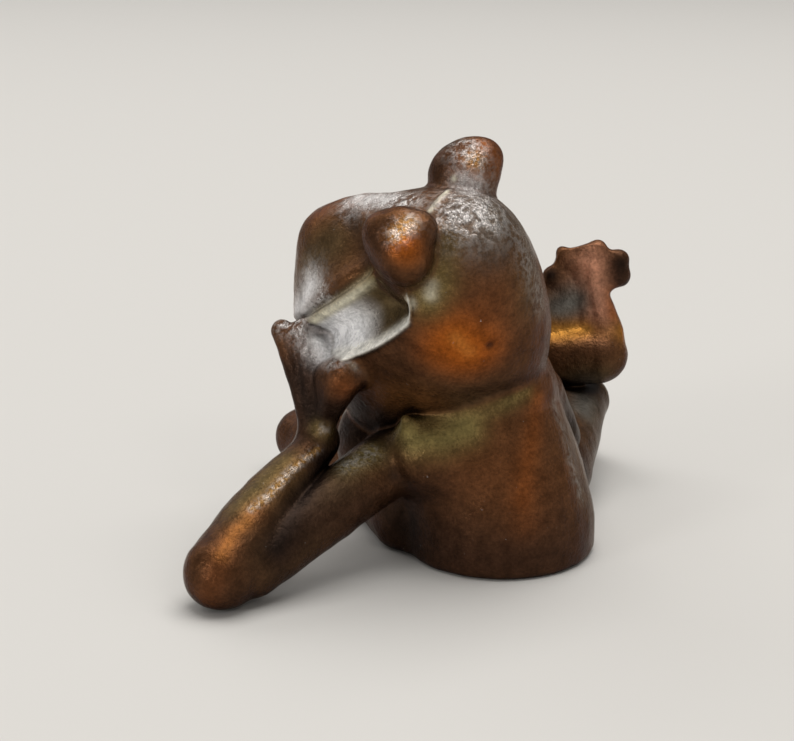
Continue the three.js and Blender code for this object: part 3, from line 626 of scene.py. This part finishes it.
low, volume = castVolume()
points, tris = skinOf(low, volume)
del volume
print("casting skin:", len(points), "points", len(tris), "triangles")

reach = castSet["voxel"] * castSet["normalStep"]
normals = np.stack([figureField(points + step) - figureField(points - step)
                    for step in np.eye(3, dtype=np.float32) * reach], 1)
normals /= np.maximum(np.linalg.norm(normals, axis=1, keepdims=True), tiny)

# how deep in a crease each point lies, 0 in the open and 1 in a fold
crease = np.zeros(len(points), np.float32)
for reach, weight in castSet["creases"]:
    clear = figureField(points + normals * reach) / reach
    crease += weight * np.clip(1 - clear, 0, 1)

gaps = overChunks(chunkGaps, points)
print("skin measured")


# patina, painted shade and painted highlights: soft strokes of a few colours, laid over each other

palette = {
    # black and dark also paint shade into hollows, grooves, folds and undersides
    "black": vec(0.022, 0.014, 0.011),
    "dark": vec(0.058, 0.027, 0.015),
    "brown": vec(0.13, 0.056, 0.023),
    "umber": vec(0.10, 0.068, 0.032),
    "red": vec(0.25, 0.078, 0.022),
    "warm": vec(0.48, 0.115, 0.010),
    "amber": vec(0.38, 0.145, 0.018),
    # gold also paints highlights on the knobs, the forearm's ridge, the wrist and the bar
    "gold": vec(0.80, 0.42, 0.10),
    "olive": vec(0.22, 0.17, 0.06),
    "pale": vec(0.88, 0.84, 0.68),
    # painted sheen: a bright matte colour painted where the metal reflects the sky or a lamp
    "paintedSheen": vec(1.0, 1.0, 1.02),
    # painted dull sheen: a grey painted where shaded metal reflects the sky
    "grey": vec(0.19, 0.185, 0.165),
    "pink": vec(0.58, 0.27, 0.165),
}

chalky = {"olive": 0.4, "pale": 1.0, "paintedSheen": 1.0}  # colours that don't shine

forearmRidge = [(-17.4, -7.9, 12.3), (-19.6, -10.2, 11.1), (-21.8, -13.0, 9.3), (-23.1, -14.2, 8.6)]
strokeSet = {
    # colour, reach, strength, places; "worn" is metal rubbed bare
    "head": [  # in the head's own axes
        ("umber", 4.0, 0.5, [(0.8, 8.0, -7.1), (-3.0, 7.5, -7.5)]),
        ("brown", 3.0, 0.8, [(-1.0, 8.6, -4.5), (1.5, 9.2, -3.0)]),
        ("amber", 2.8, 0.15, [(-1.0, 8.6, -4.5), (1.5, 9.2, -3.0)]),
        # painted shade on the throat under the head
        ("black", 2.0, 0.9, [(5.6, 9.5, -2.8), (8.9, 8.6, -2.9), (8.0, 9.2, -4.7), (4.4, 9.6, -4.6),
                             (5.4, 9.3, -6.2)]),
        ("umber", 2.6, 0.6, [(-14.3, -1.5, 3.5), (-13.6, -2.7, 0.6), (-12.5, 0.3, -3.5)]),
        ("worn", 1.4, 0.3, [(-14.4, -2.0, 3.0), (-13.5, -1.1, -1.1), (-11.1, -1.3, -5.3)]),
        ("red", 3.2, 0.4, [(-11.6, 4.3, -2.1), (-9.5, 5.5, -4.0)]),
        ("warm", 2.4, 0.75, [(-8.8, 7.1, -1.6), (-8.2, 6.7, -3.4)]),
        ("warm", 2.0, 0.4, [(-7.1, 8.1, -1.8), (-9.0, 6.0, -4.0)]),
        ("gold", 0.7, 0.15, [(-8.8, 7.1, -1.6), (-8.3, 6.6, -3.6)]),
        ("olive", 1.7, 0.8, [(-10.5, 6.1, 3.3), (-9.5, 6.9, 2.8)]),
        ("olive", 1.3, 0.5, [(-12.6, 3.4, 5.3), (-11.8, 4.9, 4.2)]),
        ("pale", 0.6, 0.5, [(-10.4, 6.3, 3.5), (-9.9, 6.7, 2.9)]),
        ("umber", 2.6, 0.8, [(-0.8, 3.7, 11.2), (2.5, 4.0, 10.6)]),
        ("red", 2.0, 0.55, [(2.0, -0.6, 12.7), (-1.6, -1.4, 11.7)]),
        # painted shade in the hollow before the near knob
        ("black", 0.8, 0.7, [(-2.3, 1.4, 11.4), (-3.3, 3.1, 9.9), (-4.5, 5.4, 8.0)]),
        ("worn", 1.9, 1.0, [(3.1, 6.1, 8.8), (5.1, 6.6, 7.9), (7.0, 6.0, 7.6)]),
        # painted reflection on the flare above the lip
        ("paintedSheen", 1.6, 0.7, [(3.1, 6.1, 8.8), (5.1, 6.6, 7.9), (7.0, 6.0, 7.6)]),
        ("worn", 1.2, 0.6, [(1.1, 7.2, 7.7)]),
        # painted sheen along the crown's up-facing top
        ("paintedSheen", 1.2, 0.5, [(-2.0, -1.0, 11.9), (-6.0, -0.4, 11.0)]),
        ("worn", 1.6, 0.95, [(-2.0, -1.0, 11.9), (-6.0, -0.4, 11.0), (-8.5, 0.4, 9.8)]),
        # painted sheen on the up-facing saddle between the knobs
        ("grey", 2.6, 0.45, [(-13.4, 0.5, 6.2), (-13.1, -2.1, 6.0), (-14.4, 1.0, 3.6)]),
        ("worn", 2.6, 0.7, [(-13.4, 0.5, 6.2), (-13.1, -2.1, 6.0)]),
        ("worn", 2.0, 0.35, [(-14.5, 0.0, 4.0)]),
        # painted highlight on the far knob's top
        ("paintedSheen", 1.3, 0.65, [(-12.6, -3.4, 7.2)]),
        ("worn", 1.3, 0.8, [(-12.6, -3.4, 7.2)]),
        ("red", 2.2, 0.8, [(-13.0, -5.2, 8.1), (-13.6, -6.8, 7.7)]),
        # painted shade on the far knob's shaded left side
        ("dark", 2.0, 0.9, [(-10.0, -3.9, 9.4), (-10.3, -5.5, 10.0)]),
        # painted highlight on the far knob
        ("gold", 0.8, 0.5, [(-13.0, -5.2, 8.1)]),
        ("worn", 1.4, 0.55, [(-12.9, -5.4, 8.3), (-12.0, -6.0, 9.6)]),
        ("brown", 3.4, 0.9, [(-11.5, 7.5, 8.0)]),
        ("warm", 1.6, 0.8, [(-13.5, 7.9, 8.4)]),
        # painted shade on the near knob's left flank and underside
        ("dark", 1.5, 0.9, [(-10.4, 7.5, 10.4), (-10.4, 9.0, 7.6)]),
        ("dark", 1.2, 0.6, [(-12.6, 5.0, 7.4)]),
        # painted highlight on the near knob's top
        ("gold", 0.7, 0.6, [(-12.9, 7.3, 9.5), (-13.3, 5.9, 9.2)]),
        ("worn", 0.9, 0.6, [(-12.9, 7.3, 9.5), (-13.3, 5.9, 9.2)]),
        ("pale", 0.22, 0.8, [(-11.4, -3.7, 8.2), (-11.5, -1.3, 8.0), (-11.3, 1.4, 8.0)]),
        ("pale", 0.5, 1.0, [(-8.1, 7.7, 3.5)]),
        # painted shade in the cheek's pit
        ("black", 0.4, 0.9, [(-9.3, 5.2, -4.6)]),
        ("pale", 0.5, 0.35, [(1.6, 9.8, 0.6)]),
    ],
    "figure": [  # in the figure's frame
        ("red", 4.5, 0.25, [(-1.0, -9.6, 10.0), (1.5, -9.5, 8.0)]),
        # painted shade over the trunk's lower part
        ("dark", 5.5, 1.0, [(-6.0, -8.0, 2.0), (1.0, -10.0, 1.5), (7.0, -6.0, 1.5)]),
        ("umber", 2.5, 0.6, [(6.5, -2.0, 12.0), (8.3, -3.0, 6.0)]),
        # painted shade on the trunk's lower left, under the arm
        ("black", 4.0, 0.9, [(-8.5, -4.0, 3.0), (-9.5, -1.0, 4.0)]),
        # painted shadow between the hand, the head's underside and the arm
        ("black", 5.0, 1.0, [(-12.5, -4.0, 13.5), (-15.5, -1.0, 12.5)]),
        ("olive", 1.6, 0.95, [(-9.5, -7.5, 14.6), (-8.3, -8.8, 13.5), (-6.0, -8.8, 13.6),
                              (-3.5, -8.4, 14.4)]),
        ("olive", 0.9, 0.7, [(-8.9, -6.3, 14.5), (-4.0, -7.9, 14.9), (0.0, -7.5, 16.7), (2.0, -6.5, 17.5)]),
        ("red", 1.5, 0.32, [(3.1, -5.8, 16.5), (2.9, -7.0, 14.4), (2.1, -8.6, 11.0), (1.7, -9.4, 7.9),
                            (1.9, -9.7, 5.8)]),
        ("warm", 1.0, 0.15, [(3.1, -5.8, 16.5), (2.9, -6.9, 14.5), (2.1, -8.6, 11.0), (1.7, -9.4, 7.9)]),
        ("worn", 0.7, 0.3, [(5.2, -3.6, 15.4), (6.0, -3.8, 13.5), (6.7, -4.7, 10.3), (7.4, -4.6, 6.5)]),
        # painted shade in the fold between shoulder and upper arm
        ("black", 0.7, 0.8, [(-10.7, -7.0, 11.5), (-10.3, -8.3, 9.9)]),
        ("dark", 3.4, 0.95, [(-17.4, -7.9, 12.3), (-24.5, -15.0, 7.5), (-26.0, -17.5, 3.0)]),
        ("umber", 2.2, 0.6, [(-20.5, -9.5, 11.3), (-24.5, -14.5, 8.2)]),
        ("olive", 1.6, 0.3, [(-20.5, -9.5, 11.3), (-24.0, -13.5, 8.9)]),
        ("umber", 2.6, 0.9, [(-15.7, -11.3, 9.0), (-18.4, -13.8, 7.0), (-20.5, -15.9, 4.9)]),
        ("dark", 3.0, 0.9, [(-13.5, -10.5, 7.5), (-18.4, -13.8, 7.0), (-20.5, -15.9, 4.9)]),
        ("olive", 1.4, 0.8, [(-14.8, -8.6, 11.0), (-12.5, -7.6, 11.9)]),
        ("black", 2.4, 0.35, [(-15.3, -10.1, 10.0), (-18.4, -13.8, 7.0), (-20.5, -15.9, 4.9)]),
        ("worn", 0.8, 0.3, [(-14.8, -8.6, 11.0), (-12.5, -7.6, 11.9)]),
        ("amber", 1.0, 0.15, forearmRidge),
        ("red", 1.2, 0.33, [(-22.8, -14.4, 8.4), (-24.5, -16.3, 7.2), (-25.5, -18.3, 5.8),
                            (-26.1, -19.4, 4.1), (-26.8, -19.1, 2.1)]),
        ("amber", 0.8, 0.25, [(-23.6, -15.4, 7.8), (-24.5, -16.3, 7.2), (-25.5, -18.3, 5.8)]),
        # painted shade along the groove between upper arm and forearm
        ("black", 1.3, 1.0, [(-16.7, -7.5, 11.7), (-17.6, -10.0, 9.5), (-19.6, -13.5, 7.4),
                             (-20.8, -15.9, 5.6)]),
        # painted highlight along the forearm's ridge
        ("gold", 0.25, 0.6, forearmRidge),
        ("worn", 0.35, 0.55, forearmRidge),
        ("dark", 3.5, 1.0, [(-19.1, -5.4, 18.3), (-18.1, -6.5, 15.7)]),
        ("black", 2.4, 0.8, [(-19.1, -5.4, 18.3), (-18.1, -6.5, 15.7)]),
        # painted shade in the groove between thumb and fingers
        ("black", 1.8, 0.8, [(-16.0, -6.8, 16.5), (-15.0, -7.2, 16.8)]),
        ("red", 1.2, 0.6, [(-14.9, -8.6, 18.6)]),
        # painted shade in the grooves between the digits
        ("black", 0.4, 0.9, [(-18.8, -5.5, 18.3), (-18.0, -6.5, 15.2)]),
        ("black", 0.4, 0.9, [(-17.6, -5.9, 18.5), (-17.3, -6.6, 15.4)]),
        ("black", 0.5, 0.9, [(-16.3, -6.6, 18.5), (-16.6, -6.8, 16.0)]),
        ("worn", 1.1, 0.7, [(-20.5, -2.8, 23.3), (-19.3, -3.5, 23.2), (-17.7, -4.6, 21.0)]),
        # painted reflection on the fingers' edges where they meet the mouth's shelf
        ("paintedSheen", 1.3, 0.9, [(-17.2, -4.0, 21.9), (-16.4, -4.8, 20.8), (-16.7, -1.0, 21.5),
                              (-17.6, -0.8, 22.6)]),
        ("worn", 0.8, 0.55, [(-15.8, -7.0, 20.4), (-14.2, -7.2, 20.4)]),
        # painted glint on the thumb's top
        ("pale", 0.5, 0.6, [(-14.0, -7.4, 20.2)]),
        ("olive", 0.9, 0.9, [(-17.0, -6.6, 13.8)]),
        # painted highlight on the wrist's bump
        ("gold", 0.5, 0.6, [(-16.9, -6.8, 13.9)]),
        ("worn", 0.4, 0.8, [(-16.8, -7.1, 14.0)]),
        ("pink", 2.1, 1.0, [(11.7, 21.2, 17.9), (11.3, 21.7, 20.9), (10.8, 22.3, 23.5)]),
        ("warm", 0.9, 0.5, [(13.3, 21.6, 18.3), (13.2, 21.8, 20.3)]),
        # painted dull sheen on the shaded foot web
        ("grey", 1.8, 0.95, [(7.6, 22.6, 18.5), (9.2, 22.7, 19.6)]),
        ("black", 1.3, 0.95, [(13.9, 22.7, 22.0), (13.9, 22.7, 23.6)]),
        ("black", 1.0, 0.95, [(6.5, 22.6, 22.4)]),
        ("dark", 1.8, 0.5, [(7.5, 20.5, 14.4), (11.7, 19.9, 14.5)]),
        ("umber", 1.6, 0.6, [(8.6, 20.4, 11.9), (11.8, 20.0, 11.9)]),
        ("amber", 1.2, 1.0, [(6.7, 22.0, 16.3), (14.3, 22.0, 16.2)]),
        # painted highlight along the bar's top
        ("gold", 1.0, 0.3, [(6.7, 22.0, 16.3), (13.0, 22.0, 16.2)]),
        ("umber", 4.0, 0.9, [(13.1, 25.2, 8.2), (11.4, 20.0, 5.7), (9.0, 14.0, 4.0)]),
        ("black", 4.0, 0.35, [(13.1, 25.2, 8.2), (11.4, 20.0, 5.7), (9.0, 14.0, 4.0)]),
        # painted dull sheen on the shaded right leg
        ("grey", 1.8, 0.8, [(9.8, 17.6, 8.7), (10.5, 20.0, 9.5)]),
        ("umber", 3.0, 0.9, [(7.3, 5.1, 12.4), (8.5, 7.0, 9.5)]),
        ("black", 3.5, 0.8, [(7.3, 5.1, 12.4), (8.5, 7.0, 9.5), (9.0, 8.0, 5.0)]),
        # painted shade on the left thigh and knee behind the arm
        ("black", 5.0, 0.8, [(-15.0, 16.5, 5.5), (-16.5, 19.8, 7.0)]),
        ("dark", 4.0, 0.7, [(-22.3, 23.7, 5.8)]),
    ],
}


def paints():
    local = (points - headSet["centre"]) @ headWays.T
    onHeadShare = ramp(-gaps[:, 1:4].min(1), -0.5, -0.1)
    # painted shade: downward-facing skin starts dark, upward-facing skin brown
    up = ramp(normals[:, 2], -1.0, 0.5)[:, None]
    tint = palette["dark"] * (1 - up) + palette["brown"] * up
    worn = np.zeros(len(points), np.float32)
    chalk = np.zeros(len(points), np.float32)

    def lay(colour, weight):
        nonlocal tint, worn, chalk
        if colour == "worn":
            worn = worn + weight * (1 - worn)
            return
        tint = tint + weight[:, None] * (palette[colour] - tint)
        worn = worn * (1 - weight)
        chalk = chalk + weight * (chalky.get(colour, 0.0) - chalk)

    for group, place, mask in (("figure", points, 1 - onHeadShare), ("head", local, onHeadShare)):
        for colour, reach, strength, line in strokeSet[group]:
            lay(colour, strength * mask * np.exp(-(lineGap(place, line) / reach) ** 2))
    # mouth: a pale band under the lip; on the shelf umber, some bare metal, and a painted reflection on the
    # left side; a painted highlight on the rim
    s, side, u = local.T
    lip, low, tall, v, end = mouthLines(s, u)
    front = ramp(s, end, end + 1.2) * ramp(np.abs(side), 2.0, 5.0) * onHeadShare
    shelf = ramp(v, 0.0, 0.08) * (1 - ramp(v, 0.8, 1.1)) * front
    sheenSide = ramp(side, 0.0, 4.0) * (1 - 0.6 * ramp(s, 8.0, 12.0))  # the left side carries the painted reflection
    lay("umber", shelf)
    lay("worn", 0.35 * shelf * (1 - sheenSide))
    # painted reflection of the sky on the shelf's left side
    lay("paintedSheen", shelf * ramp(s, -4.2, 0.8) * sheenSide)
    lay("olive", 0.9 * front * np.exp(-((u - lip + 0.8) / 0.6) ** 2))
    # a pale band under the lip's edge, brighter on the sheen side as a painted highlight
    lay("pale", (0.3 + 0.55 * sheenSide) * front * np.exp(-((u - lip + 0.9) / 0.5) ** 2) * ramp(s, -7.0, -1.0))
    # painted highlight along the lower rim's lit edge, strongest on the sheen side
    rim = np.exp(-((u - low - 0.1) / 0.24) ** 2) * ramp(s, -8.9, -8.2) * (np.abs(side) > 2)
    rim = rim * (1 - ramp(u, 3.8, 4.6) * (s < -6))
    lay("pale", (0.35 + 0.6 * sheenSide) * rim * onHeadShare)
    lay("paintedSheen", 0.5 * sheenSide * rim * onHeadShare)
    # painted shade: downward-facing skin darkens a little
    under = 0.15 * ramp(-normals[:, 2], 0.0, 0.8)
    # painted shade: creases and undersides darken the colour, less on the shelf and the matte colours
    dark = (1 - (1 - ramp(crease, 0.4, 0.95)) * (1 - under)) * (1 - 0.85 * np.maximum(shelf, chalk))
    return np.column_stack([tint * (1 - 0.8 * dark)[:, None], worn * (1 - 0.8 * dark), chalk])


# the colours carry painted shade, highlights and reflections as well as patina
paintRows = paints().astype(np.float32)
print("patina laid")


def cutOut(rows, corners, side):  # part of a skin where side is negative
    side = np.where(np.abs(side) < 1e-4, 1e-4, side)
    inside = side < 0
    count = inside[corners].sum(1)
    kept = [corners[count == 3]]
    cutters = corners[(count == 1) | (count == 2)]
    lone = np.where((count == 1)[(count == 1) | (count == 2)][:, None], inside[cutters], ~inside[cutters])
    turn = lone.argmax(1)
    cutters = cutters[np.arange(len(cutters))[:, None], (turn[:, None] + np.arange(3)) % 3]
    edges = np.sort(np.vstack([cutters[:, [0, 1]], cutters[:, [0, 2]]]), 1)
    unique, which = np.unique(edges, axis=0, return_inverse=True)
    which = which.reshape(-1)
    share = side[unique[:, 0]] / (side[unique[:, 0]] - side[unique[:, 1]])
    made = rows[unique[:, 0]] * (1 - share[:, None]) + rows[unique[:, 1]] * share[:, None]
    ab = len(rows) + which[:len(cutters)]
    ac = len(rows) + which[len(cutters):]
    one = inside[cutters[:, 0]]
    kept.append(np.stack([cutters[one, 0], ab[one], ac[one]], 1))
    kept.append(np.stack([ab[~one], cutters[~one, 1], cutters[~one, 2]], 1))
    kept.append(np.stack([ab[~one], cutters[~one, 2], ac[~one]], 1))
    corners = np.vstack(kept)
    rows = np.vstack([rows, made])
    used, corners = np.unique(corners, return_inverse=True)
    return rows[used], corners.reshape(-1, 3)


def openLoops(corners):
    edges = np.vstack([corners[:, [0, 1]], corners[:, [1, 2]], corners[:, [2, 0]]])
    keys = edges[:, 0] * (edges.max() + 1) + edges[:, 1]
    back = edges[:, 1] * (edges.max() + 1) + edges[:, 0]
    rim = edges[~np.isin(keys, back)]
    follow = dict(rim.tolist())
    loops = []
    while follow:
        start, at = follow.popitem()
        loop = [start]
        while at != start:
            loop.append(at)
            at = follow.pop(at)
        loops.append(loop)
    return loops


capSet = {
    "rings": (0.0, 0.5, 1.0, 1.5),  # how far the cap's ring is sunk under the skin
    "depths": (0.0, 1.0, 2.0, 3.0, 4.0),  # how far its hub is
    "samples": (0.15, 0.4, 0.7),  # places along each spoke
    "enough": 0.1,
    "gain": 0.01,
}

# columns of a piece's rows
placeAt, normalAt, tintAt = slice(0, 3), slice(3, 6), slice(6, 9)
wornAt, chalkAt = 9, 10


def sunkCap(rim):  # ring and hub of a seam's cap, from the try that stands out of the casting least
    hub = rim.mean(0)
    inward = -hub[normalAt] / max(np.linalg.norm(hub[normalAt]), tiny)
    least, best = None, (0.0, 0.0)
    for sunk in capSet["rings"]:
        ring = rim[:, placeAt] - sunk * rim[:, normalAt]
        for depth in capSet["depths"]:
            tip = hub[placeAt] + inward * depth
            spokes = np.concatenate([between(ring, tip, share) for share in capSet["samples"]])
            out = float(np.maximum(chunkField(spokes.astype(np.float32)), 0).sum())
            if least is None or out < least - capSet["gain"]:
                least, best = out, (sunk, depth)
        if least < capSet["enough"]:
            break
    ring = rim.copy()
    ring[:, placeAt] -= best[0] * rim[:, normalAt]
    hub[placeAt] += inward * best[1]
    if least > capSet["enough"]:
        print("    cap stands out by", round(least, 2))
    return (ring if best[0] else None), hub


def makePiece(name, index):
    others = np.delete(gaps, index, 1).min(1)
    rows, corners = cutOut(np.hstack([points, normals, paintRows]), tris, gaps[:, index] - others)
    loops = openLoops(corners)
    caps = []
    added = []
    for loop in loops:
        ring, hub = sunkCap(rows[loop])
        edge = loop
        if ring is not None:
            edge = list(range(len(rows) + len(added), len(rows) + len(added) + len(loop)))
            added += list(ring)
            for a, b, c, d in zip(loop, loop[1:] + loop[:1], edge[1:] + edge[:1], edge):
                caps += [(b, a, d), (b, d, c)]
        caps += [(b, a, len(rows) + len(added)) for a, b in zip(edge, edge[1:] + edge[:1])]
        added.append(hub)
    if added:
        rows = np.vstack([rows, added])
    faces = np.vstack([corners, np.array(caps, int).reshape(-1, 3)])
    mesh = bpy.data.meshes.new(name)
    mesh.from_pydata((rows[:, placeAt] * mm).tolist(), [], faces.tolist())
    mesh.polygons.foreach_set("use_smooth", np.ones(len(faces), bool))
    mesh.update()
    cornerNormals = rows[faces.reshape(-1), normalAt]
    cap = np.repeat(np.arange(len(faces)) >= len(corners), 3)
    flat = np.zeros(len(faces) * 3, np.float32)
    mesh.polygon_normals.foreach_get("vector", flat)
    cornerNormals[cap] = np.repeat(flat.reshape(-1, 3), 3, 0)[cap]
    mesh.normals_split_custom_set(cornerNormals.tolist())
    layer = mesh.attributes.new("tint", "FLOAT_VECTOR", "POINT")
    layer.data.foreach_set("vector", rows[:, tintAt].astype(np.float32).ravel())
    for column, key in ((wornAt, "worn"), (chalkAt, "chalk")):
        layer = mesh.attributes.new(key, "FLOAT", "POINT")
        layer.data.foreach_set("value", rows[:, column].astype(np.float32))
    piece = bpy.data.objects.new(name + "_cast", mesh)
    bpy.context.scene.collection.objects.link(piece)
    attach(piece, "root")
    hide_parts(name)
    print("  piece", name, len(rows), "points", len(faces), "faces", len(loops), "seams")
    return piece


pieces = [makePiece(part[0], i) for i, part in enumerate(parts)]


# bronze: the painted colours, with their painted shade and highlights, broken up by a fine grain, bare
# between the pits, with bright specks

bronzeSet = {
    "bare": (0.80, 0.78, 0.77, 1),
    "edge": (0.38, 0.30, 0.23, 1),
    "edgeShine": 0.15,
    # scale, detail and roughness of each noise
    "mottle": (700.0, 5.0, 0.6),
    "grain": (3300.0, 3.0, 0.6),
    "pits": (1500.0, 4.0, 0.7),
    # a value's low and high, then what they become
    "mottleShade": (0.32, 0.68, 0.5, 0.87),
    "grainShade": (0.3, 0.7, 0.6, 1.0),
    "tintScale": (0.0, 1.0, 0.0, 1.65),
    "barePits": (0.43, 0.57, 0.05, 1.0),
    "specks": (0.71, 0.77, 0.0, 0.9),
    "bareMetal": (0.0, 0.7, 0.5, 1.0),
    "chalkMetal": (0.0, 0.8, 1.0, 0.1),
    "grainRough": (0.3, 0.7, 0.14, 0.26),
    "chalkRough": (0.0, 1.0, 0.0, 0.3),
    "wornBump": (0.0, 0.6, 0.35, 1.0),
    "bumpGrain": 0.4,
    "bumpPits": 0.6,
    "bumpDistance": 0.0005,
}


def bronzeFinish():
    b = bronzeSet
    material = bpy.data.materials.new("agedBronze")
    material.use_nodes = True
    tree = material.node_tree
    shader = tree.nodes["Principled BSDF"]
    place = tree.nodes.new("ShaderNodeTexCoord").outputs["Object"]

    def noise(scale, detail, rough):
        node = tree.nodes.new("ShaderNodeTexNoise")
        node.inputs["Scale"].default_value = scale
        node.inputs["Detail"].default_value = detail
        node.inputs["Roughness"].default_value = rough
        tree.links.new(place, node.inputs["Vector"])
        return node.outputs["Fac"]

    def layer(name, output):
        node = tree.nodes.new("ShaderNodeAttribute")
        node.attribute_name = name
        return node.outputs[output]

    def spread(value, low, high, start, end):
        node = tree.nodes.new("ShaderNodeMapRange")
        for key, number in (("From Min", low), ("From Max", high), ("To Min", start), ("To Max", end)):
            node.inputs[key].default_value = number
        tree.links.new(value, node.inputs["Value"])
        return node.outputs["Result"]

    def sums(operation, first, second):
        node = tree.nodes.new("ShaderNodeMath")
        node.operation = operation
        node.use_clamp = True
        for slot, value in zip(node.inputs, (first, second)):
            if isinstance(value, float):
                slot.default_value = value
            else:
                tree.links.new(value, slot)
        return node.outputs["Value"]

    def mix(share, under, over):
        node = tree.nodes.new("ShaderNodeMix")
        node.data_type = "RGBA"
        tree.links.new(share, node.inputs["Factor"])
        for key, value in (("A", under), ("B", over)):
            slot = [i for i in node.inputs if i.name == key and i.type == "RGBA"][0]
            if isinstance(value, tuple):
                slot.default_value = value
            else:
                tree.links.new(value, slot)
        return [o for o in node.outputs if o.type == "RGBA"][0]

    mottle = noise(*b["mottle"])
    grain = noise(*b["grain"])
    pits = noise(*b["pits"])
    uneven = sums("MULTIPLY", spread(mottle, *b["mottleShade"]), spread(grain, *b["grainShade"]))
    base = tree.nodes.new("ShaderNodeVectorMath")
    base.operation = "SCALE"
    tree.links.new(layer("tint", "Vector"), base.inputs["Vector"])
    tree.links.new(spread(uneven, *b["tintScale"]), base.inputs["Scale"])
    worn = layer("worn", "Fac")
    bare = sums("MULTIPLY", worn, spread(pits, *b["barePits"]))
    bare = sums("MAXIMUM", bare, spread(pits, *b["specks"]))
    colour = mix(bare, base.outputs["Vector"], b["bare"])
    tree.links.new(colour, shader.inputs["Base Color"])
    chalk = layer("chalk", "Fac")
    metal = sums("MULTIPLY", spread(bare, *b["bareMetal"]), spread(chalk, *b["chalkMetal"]))
    tree.links.new(metal, shader.inputs["Metallic"])
    shader.inputs["Specular Tint"].default_value = b["edge"]
    shader.inputs["Specular IOR Level"].default_value = b["edgeShine"]
    rough = sums("ADD", spread(grain, *b["grainRough"]), spread(chalk, *b["chalkRough"]))
    tree.links.new(rough, shader.inputs["Roughness"])
    bump = tree.nodes.new("ShaderNodeBump")
    tree.links.new(spread(worn, *b["wornBump"]), bump.inputs["Strength"])
    bump.inputs["Distance"].default_value = b["bumpDistance"]
    height = sums("ADD", sums("MULTIPLY", grain, b["bumpGrain"]), sums("MULTIPLY", pits, b["bumpPits"]))
    tree.links.new(height, bump.inputs["Height"])
    tree.links.new(bump.outputs["Normal"], shader.inputs["Normal"])
    return material


bronze = bronzeFinish()
for piece in pieces:
    piece.data.materials.append(bronze)
print("bronze laid on", len(pieces), "pieces")


# stage

stageSet = {
    "floorSize": 6.0,
    "floorColour": (0.62, 0.61, 0.59, 1),
    "floorRough": 0.8,
    "sky": (1.0, 0.97, 0.93, 1),
    "world": 0.3,
}

floorMesh = bpy.data.meshes.new("floor")
half = stageSet["floorSize"] / 2
floorCorners = [(-half, -half, 0), (half, -half, 0), (half, half, 0), (-half, half, 0)]
floorMesh.from_pydata(floorCorners, [], [(0, 1, 2, 3)])
floor = bpy.data.objects.new("floor", floorMesh)
bpy.context.scene.collection.objects.link(floor)
floorPaint = bpy.data.materials.new("floorPaint")
floorPaint.use_nodes = True
floorShader = floorPaint.node_tree.nodes["Principled BSDF"]
floorShader.inputs["Base Color"].default_value = stageSet["floorColour"]
floorShader.inputs["Roughness"].default_value = stageSet["floorRough"]
floorMesh.materials.append(floorPaint)

world = bpy.data.worlds.new("studio")
world.use_nodes = True
background = world.node_tree.nodes["Background"]
background.inputs["Color"].default_value = stageSet["sky"]
background.inputs["Strength"].default_value = stageSet["world"]
bpy.context.scene.world = world

lampSet = {
    "aim": (0, 0, 0.02),
    # name, place, size, power, colour
    "boxes": [
        ("backBox", (-0.75, 0.8, 0.75), (1.1, 0.8), 3.0, (1, 0.99, 0.97)),
        ("topBox", (0.15, 0.1, 1.3), (1.2, 1.2), 16.0, (1, 0.98, 0.95)),
        ("sideBox", (0.5, -0.9, 0.8), (0.2, 0.2), 0.8, (1, 0.96, 0.9)),
        ("leftBox", (-0.8, -0.75, 0.35), (0.3, 0.3), 2.2, (1, 0.99, 0.97)),
    ],
}


def softBox(name, place, size, power, tint):
    lamp = bpy.data.lights.new(name, "AREA")
    lamp.shape = "RECTANGLE"
    lamp.size, lamp.size_y = size
    lamp.energy = power
    lamp.color = tint
    box = bpy.data.objects.new(name, lamp)
    box.location = place
    way = np.array(lampSet["aim"]) - np.array(place)
    box.rotation_euler = (math.pi - math.acos(way[2] / np.linalg.norm(way)), 0,
                          math.atan2(way[1], way[0]) - math.pi / 2)
    bpy.context.scene.collection.objects.link(box)


for lampRow in lampSet["boxes"]:
    softBox(*lampRow)
print("stage lit by", len(lampSet["boxes"]), "lamps")

# camera, at the photograph's angle

cameraSet = {
    "place": (-0.010, -0.175367, 0.064787),
    "tilt": 75.0,
    "sensor": 36,
    "lens": 36 * 1885 / 794,  # sensor width by the focal length in pixels, over the picture's width
    "near": 0.01,
}

lens = bpy.data.cameras.new("camera")
lens.sensor_fit = "HORIZONTAL"
lens.sensor_width = cameraSet["sensor"]
lens.lens = cameraSet["lens"]
lens.clip_start = cameraSet["near"]
camera = bpy.data.objects.new("camera", lens)
camera.location = cameraSet["place"]
camera.rotation_euler = (math.radians(cameraSet["tilt"]), 0, 0)
bpy.context.scene.collection.objects.link(camera)
bpy.context.scene.camera = camera
bpy.context.scene.view_settings.view_transform = "Standard"
